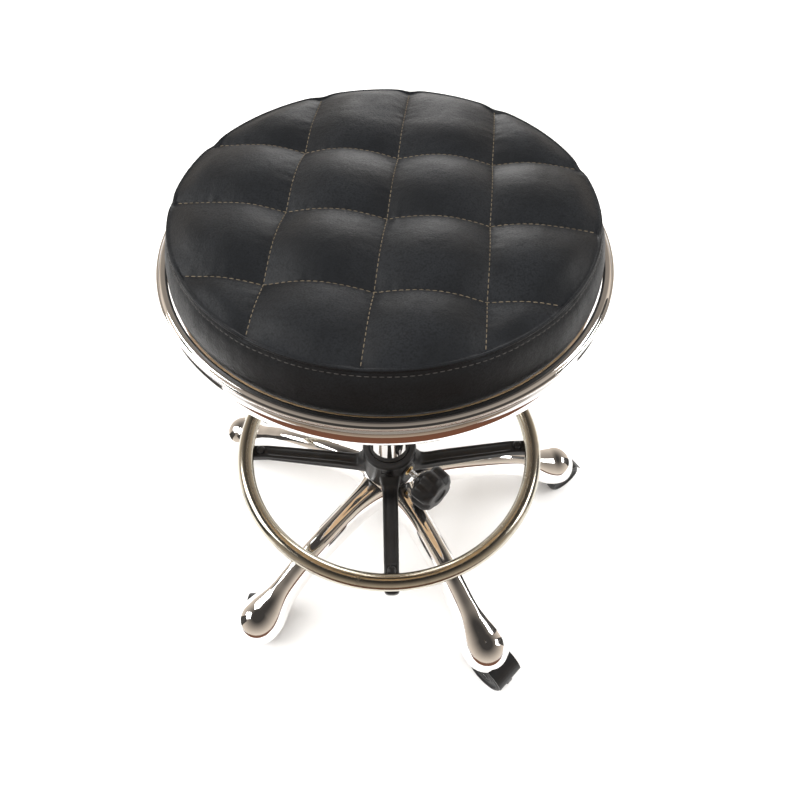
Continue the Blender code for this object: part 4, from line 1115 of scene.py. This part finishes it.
class STOOL_OT_foot_hub(bpy.types.Operator):
    """Mould the foot ring's hub, spokes and liner"""

    bl_idname = "stool.foot_hub"
    bl_label = "Foot Ring Hub"

    def execute(self, context):
        mesh = bmesh.new()
        rows = [(HUB_BORE, HUB_LOW), (HUB_RADIUS - 1 * MM, HUB_LOW), (HUB_RADIUS, HUB_LOW + 1 * MM)]
        rows += [(HUB_RADIUS, z) for z in np.arange(HUB_LOW + 2 * MM, HUB_HIGH - 3 * MM, 0.6 * MM)]
        rows += [(HUB_RADIUS, HUB_HIGH - 2 * MM), (HUB_RADIUS - 0.4 * MM, HUB_HIGH - 0.9 * MM),
                 (HUB_RADIUS - 1.5 * MM, HUB_HIGH), (HUB_BORE, HUB_HIGH)]
        turn_about(mesh, rows, 300, shape=self.hub_face)
        shell = to_piece("foot_ring_hub_shell", mesh, "foot_ring", "black_plastic", ["foot_ring_hub"])
        clamp_axis = facing(CLAMP_HEADING, (0, 0, middle_of("knob").z))
        bore(shell, CLAMP_BORE, HUB_BORE - 8 * MM, HUB_RADIUS + 4 * MM, clamp_axis)
        mesh = bmesh.new()
        for n in range(4):
            turn = about_z(n * math.pi / 2)
            sections = [[(reach, y, z) for y, z in spoke_section(width, top, bottom, flute)]
                        for reach, width, top, bottom, flute in flowing(spoke_stations(), 7)]
            add_loft(mesh, sections, turn)
            inner = RING_RADIUS - RING_TUBE
            lump = [(0, SPOKE_TOP - 4 * MM), (5.4 * MM, SPOKE_TOP - 4 * MM), (5.2 * MM, SPOKE_TOP + 3 * MM),
                    (3.6 * MM, SPOKE_TOP + 5.2 * MM), (0, SPOKE_TOP + 5.8 * MM)]
            turn_about(mesh, eased(lump, 1.6 * MM), 32, turn @ Matrix.Translation((inner - 6.5 * MM, 0, 0)))
        boss = [(CLAMP_BORE, HUB_BORE), (11.5 * MM, HUB_BORE), (10.5 * MM, HUB_RADIUS + 0.8 * MM),
                (CLAMP_BORE, HUB_RADIUS + 0.8 * MM)]
        turn_about(mesh, eased(boss, 0.6 * MM, 3), 64, clamp_axis)
        to_piece("foot_ring_spokes", mesh, "foot_ring", "black_plastic")
        self.liner()
        for n in SPOKES:
            keep_node(f"spoke_screw_{n}")
        return {"FINISHED"}

    @staticmethod
    def hub_face(angle, radius, height):
        """The hub's outside, with a blank rectangular recess between two thin ribs."""
        if radius < HUB_RADIUS - 0.1 * MM:
            return radius
        off = abs((angle - RECESS_HEADING + math.pi) % (2 * math.pi) - math.pi) * HUB_RADIUS
        up = abs(height - (HUB_HIGH - RECESS_DROP))
        sunk = off < RECESS_HALF[0] and up < RECESS_HALF[1]
        ribbed = abs(abs(height - (HUB_LOW + HUB_HIGH) / 2) - RIB_OFF) < 0.8 * MM
        return radius - (0.9 * MM if sunk else 0.0) + (0.3 * MM if ribbed else 0.0)

    @staticmethod
    def liner():
        low, high = low_and_high("hub_liner")
        inner = reach_of("outer_column") + 0.3 * MM
        flange = reach_of("hub_liner")
        outline = [(inner, low), (flange - 0.6 * MM, low), (flange, low + 0.6 * MM), (flange, low + 1.5 * MM),
                   (inner + 2.5 * MM, low + 1.5 * MM), (inner + 2.5 * MM, high - 1.5 * MM),
                   (flange, high - 1.5 * MM), (flange - 1 * MM, high), (inner + 0.6 * MM, high),
                   (inner, high - 0.5 * MM)]
        turned("foot_ring_liner", eased(outline, 0.35 * MM, 3), 128, "ring_collar", "nylon", ["hub_liner"])


# Clamp knob

KNOB_NECK = 7 * MM
KNOB_GRIP = 28 * MM
LOBES = 6
LOBE_DEPTH = 0.17  # how far a flute between two lobes cuts in, as a share of the radius


class STOOL_OT_clamp_knob(bpy.types.Operator):
    """Mould the lobed knob and cut its screw thread"""

    bl_idname = "stool.clamp_knob"
    bl_label = "Clamp Knob"

    def execute(self, context):
        keep_node("threaded_insert")
        keep_node("clamp_shoe")
        sizes = context.scene.stool_sizes
        height = middle_of("knob").z
        out = Vector((math.cos(CLAMP_HEADING), math.sin(CLAMP_HEADING), 0))
        low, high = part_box("knob")
        corners = [Vector((x, y, 0)).dot(out) for x in (low.x, high.x) for y in (low.y, high.y)]
        radius = half_height("knob")
        knob_middle = sum(corners) / len(corners)
        start = knob_middle - (KNOB_NECK + KNOB_GRIP) / 2
        body, face = start + KNOB_NECK, start + KNOB_NECK + KNOB_GRIP
        place = facing(CLAMP_HEADING, (0, 0, height))

        def lobed(angle, reach, along):
            wave = (1 - math.cos(LOBES * angle)) / 2
            depth = LOBE_DEPTH * ease((reach - 0.50 * radius) / (0.42 * radius))
            return reach * (1 - depth * wave**2)

        outline = [(4.2 * MM, start), (10.4 * MM, start), (11.2 * MM, start + 1 * MM),
                   (11.8 * MM, body - 1 * MM), (14 * MM, body), (radius - 3 * MM, body + 0.4 * MM),
                   (radius, body + 4 * MM),
                   (radius, body + 12 * MM), (radius - 0.8 * MM, face - 7 * MM),
                   (radius - 5.5 * MM, face - 1.2 * MM), (radius - 9 * MM, face), (10.4 * MM, face),
                   (9.2 * MM, face - 2.2 * MM), (4 * MM, face - 2.6 * MM),
                   (0, face - 2.6 * MM), (0, start + 14 * MM), (4.2 * MM, start + 14 * MM)]
        turned("clamp_knob_grip", eased(outline, 1.3 * MM, 4), 180, "clamp_knob", "black_plastic", ["knob"],
               place, lobed)
        self.stud(place, start, sizes)
        return {"FINISHED"}

    @staticmethod
    def stud(place, start, sizes):
        """The bright stud with its screw thread."""
        pitch = sizes.thread_pitch
        inner, outer = 3.35 * MM, 4.0 * MM
        begin, end = start - 13.5 * MM, start + 13 * MM
        heights = np.arange(begin, end, pitch / 8)

        def threaded(angle, radius, height):
            if radius < 3.9 * MM:
                return radius
            share = ((height - begin) / pitch - angle / (2 * math.pi)) % 1.0
            crest = 1 - abs(2 * share - 1)
            return inner + (outer - inner) * min(1.0, max(0.0, 1.3 * crest))

        rows = [(0, begin - 1.5 * MM), (2.8 * MM, begin - 1.5 * MM), (3.3 * MM, begin - 0.6 * MM)]
        rows += [(outer, z) for z in heights]
        rows += [(0, end)]
        turned("clamp_stud", rows, 48, "clamp_knob", "zinc", ["knob_stud"], place, threaded, angle=50)


# Star base

DOME_RIM, HUB_TOP = low_and_high("base_star")
BASE_RADIUS = middle_of("caster_1_stem").xy.length
SOCKET_FACE = DOME_RIM + 3.1 * MM
DOME_RADIUS = 28.5 * MM
BASE_HUB = reach_of("outer_column") + 9 * MM
LEG_TALL = 34 * MM
LEG_HALF = 16.5 * MM
LEG_SQUARE, LEG_ROUND = 0.77, 1.0  # how round the top of a leg is, from its middle to its dome

# (share of the way out, share of the fall, height, width) along a leg
LEG_STATIONS = (
    (0.0, 0.0, 1.0, 1.42), (0.09, 0.01, 1.0, 1.18), (0.22, 0.04, 1.0, 1.02), (0.45, 0.20, 0.92, 0.99),
    (0.62, 0.38, 0.88, 0.98), (0.76, 0.64, 0.95, 1.02), (0.87, 0.86, 0.97, 1.18), (1.0, 1.02, 0.95, 1.5),
)


def leg_outline():
    """(reach, half width, top, skirt, roundness) along a leg that swells into a dome at its end."""
    dome_top = SOCKET_FACE + DOME_RADIUS
    drop = HUB_TOP - 1 * MM - dome_top
    start = BASE_HUB - 5 * MM
    rows = []
    for along, fall, tall, wide in flowing(LEG_STATIONS, 8):
        reach = start + (BASE_RADIUS - start) * along
        top = HUB_TOP - 1 * MM - drop * fall
        bottom = max(top - LEG_TALL * tall, SOCKET_FACE)
        into = float(ease((along - 0.80) / 0.20))
        inside = min(1.0, abs(BASE_RADIUS - reach) / DOME_RADIUS)
        dome = math.sqrt(1 - inside**2)
        half = max(LEG_HALF * wide * (1 - into) + into * DOME_RADIUS, DOME_RADIUS * dome)
        top = top * (1 - into) + into * max(top, SOCKET_FACE + DOME_RADIUS * dome)
        skirt = bottom * (1 - into) + into * DOME_RIM
        squareness = LEG_SQUARE + (LEG_ROUND - LEG_SQUARE) * into
        rows.append((reach, min(half, DOME_RADIUS), top, skirt, squareness))
    for angle in np.radians(np.arange(6, 91, 6)):
        swell = max(math.cos(angle), 0.02)
        rows.append((BASE_RADIUS + DOME_RADIUS * math.sin(angle), DOME_RADIUS * swell,
                     SOCKET_FACE + DOME_RADIUS * swell, DOME_RIM, LEG_ROUND))
    return rows


def leg_arch(reach, half, top, skirt, roundness, count=28):
    """Arch across a leg, open below, with a short upright skirt on each side."""
    side = min(max(skirt, SOCKET_FACE), top)
    flat = 0.8 + 0.2 * (roundness - LEG_SQUARE) / (LEG_ROUND - LEG_SQUARE)
    points = [(reach, half, skirt)]
    for k in range(count + 1):
        angle = math.pi * k / count
        across, up = math.cos(angle), math.sin(angle)
        points.append((reach, half * math.copysign(abs(across) ** flat, across),
                       side + (top - side) * up ** roundness + 0.05 * MM))
    points.append((reach, -half, skirt))
    return points


class STOOL_OT_star_base(bpy.types.Operator):
    """Press the five chrome legs and turn their hub"""

    bl_idname = "stool.star_base"
    bl_label = "Star Base"

    def execute(self, context):
        sizes = context.scene.stool_sizes
        mesh = bmesh.new()
        for n in CASTERS:
            stem = middle_of(f"caster_{n}_stem")
            turn = about_z(math.atan2(stem.y, stem.x))
            add_loft(mesh, [leg_arch(*row) for row in leg_outline()], turn, capped=False, closed=False)
        legs = to_piece("base_legs", mesh, "base", "chrome", ["base_star"], "stool_cast_chrome", 75)
        wall = legs.modifiers.new("Shell", "SOLIDIFY")
        wall.thickness = sizes.leg_shell
        wall.offset = -1
        apply_modifiers(legs)
        smooth_shaded(legs.data, 50)
        low = low_and_high("outer_column")[0] - 2 * MM
        inside = reach_of("outer_column") + 0.3 * MM
        hub = [(inside - 1 * MM, low), (BASE_HUB - 3 * MM, low), (BASE_HUB, low + 4 * MM),
               (BASE_HUB, HUB_TOP - 5 * MM), (BASE_HUB - 3 * MM, HUB_TOP), (inside, HUB_TOP),
               (inside, low + 30 * MM)]
        turned("base_hub", eased(hub, 1.6 * MM), 128, "base", "chrome", finish="stool_cast_chrome")
        mesh = bmesh.new()
        for n in CASTERS:
            stem = middle_of(f"caster_{n}_stem")
            socket = [(5.9 * MM, SOCKET_FACE), (12 * MM, SOCKET_FACE), (12 * MM, SOCKET_FACE + 20 * MM),
                      (5.9 * MM, SOCKET_FACE + 20 * MM)]
            turn_about(mesh, eased(socket, 0.5 * MM, 2), 40, Matrix.Translation((stem.x, stem.y, 0)))
        to_piece("base_sockets", mesh, "base", "steel")
        return {"FINISHED"}


# Casters

WHEEL_RADIUS = half_height("caster_1_wheel_left")
TRAIL = (middle_of("caster_1_axle") - middle_of("caster_1_stem")).xy.length
WHEEL_WIDTH = 14 * MM
WEB = 8 * MM
WHEEL_OFFSET = WEB / 2 + 0.8 * MM + WHEEL_WIDTH / 2
HOOD_INNER = WHEEL_RADIUS + 1.3 * MM
HOOD_OUTER = HOOD_INNER + 1.8 * MM


def arc(radius, start, stop, step):
    """Points on a circle, from one angle to before another, in degrees."""
    return [(radius * math.cos(a), radius * math.sin(a)) for a in np.radians(np.arange(start, stop, step))]


class STOOL_OT_casters(bpy.types.Operator):
    """Build the five twin-wheel casters"""

    bl_idname = "stool.casters"
    bl_label = "Casters"

    def execute(self, context):
        for n in CASTERS:
            stem = middle_of(f"caster_{n}_stem")
            place = Matrix.Translation((stem.x, stem.y, 0)) @ about_z(heading_of(n))
            keep_node(f"caster_{n}_stem")
            self.housing(n, place)
            self.axle(n, place)
            for side, word in ((1, "left"), (-1, "right")):
                self.wheel(n, place, side, word)
        return {"FINISHED"}

    @staticmethod
    def housing(n, place):
        """Web, hood and boss. The web is narrower in its first and last slice, which rounds its edges."""
        mesh = bmesh.new()
        wide = WHEEL_OFFSET + WHEEL_WIDTH / 2
        hood = eased(arc(HOOD_OUTER, 22, 159, 8) + arc(HOOD_INNER, 158, 21, -8), 0.5 * MM, 2)
        web = arc(HOOD_INNER + 0.5 * MM, -8, 189, 7) + arc(9 * MM, 205, 336, 15)
        lift = Vector((TRAIL, 0, WHEEL_RADIUS))
        for outline, half, end in ((hood, wide, 1.0), (web, WEB / 2, 0.96)):
            centre = Vector((sum(p[0] for p in outline), sum(p[1] for p in outline))) / len(outline)
            sections = []
            for y, share in ((-half, end), (-half + 0.7 * MM, 1.0), (half - 0.7 * MM, 1.0), (half, end)):
                flat = [centre.lerp(Vector(point), share) for point in outline]
                sections.append([lift + Vector((point.x, y, point.y)) for point in flat])
            add_loft(mesh, sections, place)
        top = low_and_high(f"caster_{n}_housing")[1]
        boss = [(4.3 * MM, top - 16 * MM), (9.0 * MM, top - 16 * MM), (9.5 * MM, top - 14 * MM),
                (9.5 * MM, top), (4.3 * MM, top)]
        turn_about(mesh, eased(boss, 0.6 * MM, 3), 48, place)
        to_piece(f"caster_{n}_hood", mesh, f"caster_{n}", "black_plastic", [f"caster_{n}_housing"])

    @staticmethod
    def axle(n, place):
        reach = WHEEL_OFFSET + WHEEL_WIDTH / 2 - 2 * MM
        outline = eased([(0, -reach), (3 * MM, -reach), (3 * MM, reach), (0, reach)], 0.6 * MM, 3)
        across = place @ Matrix.Translation((TRAIL, 0, WHEEL_RADIUS)) @ Matrix.Rotation(math.pi / 2, 4, "X")
        turned(f"caster_{n}_pin", outline, 32, f"caster_{n}", "zinc", [f"caster_{n}_axle"], across)

    @staticmethod
    def wheel(n, place, side, word):
        """One wheel: a soft tread, a dished face with a raised ring, and a hub."""
        half = WHEEL_WIDTH / 2
        tread = WHEEL_RADIUS
        outline = [(3.3 * MM, -half), (tread - 3 * MM, -half), (tread - 0.3 * MM, -half + 2 * MM),
                   (tread, -half + 4 * MM), (tread, half - 4.6 * MM), (tread - 0.9 * MM, half - 2 * MM),
                   (tread - 3.6 * MM, half), (tread - 5.4 * MM, half - 0.3 * MM),
                   (tread - 6.6 * MM, half - 2.4 * MM),
                   (13 * MM, half - 2.6 * MM), (11.4 * MM, half - 1.6 * MM), (9.6 * MM, half - 1.6 * MM),
                   (8.6 * MM, half - 2.6 * MM), (6.4 * MM, half - 2.4 * MM), (5.4 * MM, half - 1.1 * MM),
                   (3.3 * MM, half - 1.1 * MM)]
        seat = place @ Matrix.Translation((TRAIL, side * WHEEL_OFFSET, WHEEL_RADIUS))
        seat = seat @ Matrix.Rotation(-side * math.pi / 2, 4, "X")
        turned(f"caster_{n}_tyre_{word}", eased(outline, 0.8 * MM, 3), 72, f"caster_{n}_{word}",
               "caster_tread", [f"caster_{n}_wheel_{word}"], seat)


# Stage

CAMERA_PLACE = (0, -0.4249, 0.8721)
CAMERA_ANGLES = (54.196, 1.532, 0.211)  # degrees down, to the right, and of roll
CAMERA_LENS = 29.24
CAMERA_SHIFT = 0.0016


class STOOL_OT_stage(bpy.types.Operator):
    """Lay the floor, hang the lights and place the camera"""

    bl_idname = "stool.stage"
    bl_label = "Stage"

    def execute(self, context):
        self.floor()
        self.lights()
        self.sky()
        self.reflectors()
        self.camera(context.scene)
        context.scene.view_settings.view_transform = "Standard"
        return {"FINISHED"}

    @staticmethod
    def floor():
        mesh = bmesh.new()
        bmesh.ops.create_grid(mesh, x_segments=8, y_segments=8, size=20.0)
        floor = object_from("floor", mesh)
        floor.data.materials.append(finish_called("studio_floor"))

    @staticmethod
    def lights():
        """Large soft boxes: one overhead, one at each side, one behind."""
        boxes = (
            ("top_light", (-0.1, -0.2, 2.6), (0, 0.0, 0.2), 2.4, 120),
            ("left_light", (-2.1, 0.3, 1.9), (0, 0, 0.2), 1.3, 44),
            ("right_light", (2.3, 0.2, 1.6), (0, 0, 0.2), 1.0, 28),
            ("back_light", (0.2, 2.9, 1.2), (0, 0, 0.3), 1.2, 26),
        )
        for name, place, target, size, power in boxes:
            lamp = bpy.data.lights.new(name, "AREA")
            lamp.shape = "SQUARE"
            lamp.size = size
            lamp.energy = power
            held = bpy.data.objects.new(name, lamp)
            held.location = place
            held.rotation_euler = (Vector(target) - Vector(place)).to_track_quat("-Z", "Y").to_euler()
            bpy.context.scene.collection.objects.link(held)
            held.visible_glossy = name != "top_light"

    @staticmethod
    def sky():
        """Warm light low down, near black overhead."""
        world = bpy.data.worlds.new("studio")
        made = Nodes(world)
        where = made.node("ShaderNodeTexCoord", output="Generated")
        height = made.node("ShaderNodeSeparateXYZ", None, [where], "Z")
        stops = ((0.02, (0.86, 0.74, 0.62, 1.0)), (0.90, (0.055, 0.050, 0.046, 1.0)))
        tint_of_sky = made.node("ShaderNodeValToRGB", {"stops": stops}, [height], "Color")
        made.feed(made.tree.nodes["Background"].inputs["Color"], tint_of_sky)
        bpy.context.scene.world = world

    @staticmethod
    def reflectors():
        """Cards that only show as reflections in the chrome: two in front, and a dark one at each side."""
        cards = (
            ("warm_card", (0.0, -0.93, 0.004), (1.0, 0.52), (0, 0, 0), (0.085, 0.030, 0.014)),
            ("beige_card", (0.0, -2.9, 0.004), (2.6, 1.45), (0, 0, 0), (0.30, 0.235, 0.18)),
            ("dark_card_left", (-1.5, -0.2, 0.5), (0.5, 0.35), (0, math.pi / 2, 0), (0.02, 0.018, 0.016)),
            ("dark_card_right", (1.5, 0.2, 0.5), (0.5, 0.35), (0, math.pi / 2, 0), (0.02, 0.018, 0.016)),
        )
        for name, place, (half_x, half_y), turn, colour in cards:
            mesh = bmesh.new()
            corners = [(-half_x, -half_y), (half_x, -half_y), (half_x, half_y), (-half_x, half_y)]
            mesh.faces.new([mesh.verts.new((x, y, 0)) for x, y in corners])
            card = object_from(name, mesh)
            made = Finish(name, roughness=0.7)
            made.set("Base Color", (*colour, 1.0))
            card.data.materials.append(made.material)
            card.location = place
            card.rotation_euler = turn
            card.visible_camera = False
            card.visible_diffuse = False
            card.visible_shadow = False

    @staticmethod
    def camera(scene):
        """Camera that looks down on the stool from in front."""
        pitch, yaw, roll = (math.radians(angle) for angle in CAMERA_ANGLES)
        ahead = Vector((math.sin(yaw) * math.cos(pitch), math.cos(yaw) * math.cos(pitch), -math.sin(pitch)))
        right = Vector((math.cos(yaw), -math.sin(yaw), 0))
        up = right.cross(ahead)
        turned_right = right * math.cos(roll) + up * math.sin(roll)
        turned_up = up * math.cos(roll) - right * math.sin(roll)
        axes = Matrix((turned_right, turned_up, -ahead)).transposed().to_4x4()
        lens = bpy.data.cameras.new("camera")
        lens.lens = CAMERA_LENS
        lens.sensor_width = 36
        lens.shift_x = CAMERA_SHIFT
        held = bpy.data.objects.new("camera", lens)
        held.matrix_world = Matrix.Translation(CAMERA_PLACE) @ axes
        scene.collection.objects.link(held)
        scene.camera = held


# Add-on


OPERATORS = (
    STOOL_OT_stage, STOOL_OT_star_base, STOOL_OT_casters, STOOL_OT_gas_lift, STOOL_OT_foot_hub,
    STOOL_OT_foot_ring, STOOL_OT_clamp_knob, STOOL_OT_under_seat, STOOL_OT_seat_ring, STOOL_OT_cushion,
)


class STOOL_PT_maker(bpy.types.Panel):
    """The stool's pieces, sizes and colours"""

    bl_idname = "STOOL_PT_maker"
    bl_label = "Swivel Stool"
    bl_space_type = "VIEW_3D"
    bl_region_type = "UI"
    bl_category = "Stool"

    def draw(self, context):
        layout = self.layout
        for kind in OPERATORS:
            layout.operator(kind.bl_idname)
        for group in (context.scene.stool_sizes, context.scene.stool_colours):
            box = layout.box()
            for name in group.bl_rna.properties.keys():
                if name not in ("rna_type", "name"):
                    box.prop(group, name)


CLASSES = (StoolSizes, StoolColours, *OPERATORS, STOOL_PT_maker)


def register():
    for kind in CLASSES:
        bpy.utils.register_class(kind)
    bpy.types.Scene.stool_sizes = bpy.props.PointerProperty(type=StoolSizes)
    bpy.types.Scene.stool_colours = bpy.props.PointerProperty(type=StoolColours)


def unregister():
    del bpy.types.Scene.stool_colours
    del bpy.types.Scene.stool_sizes
    for kind in reversed(CLASSES):
        bpy.utils.unregister_class(kind)


def main():
    register()
    for kind in OPERATORS:
        group, name = kind.bl_idname.split(".")
        getattr(getattr(bpy.ops, group), name)()


if __name__ == "__main__":
    main()
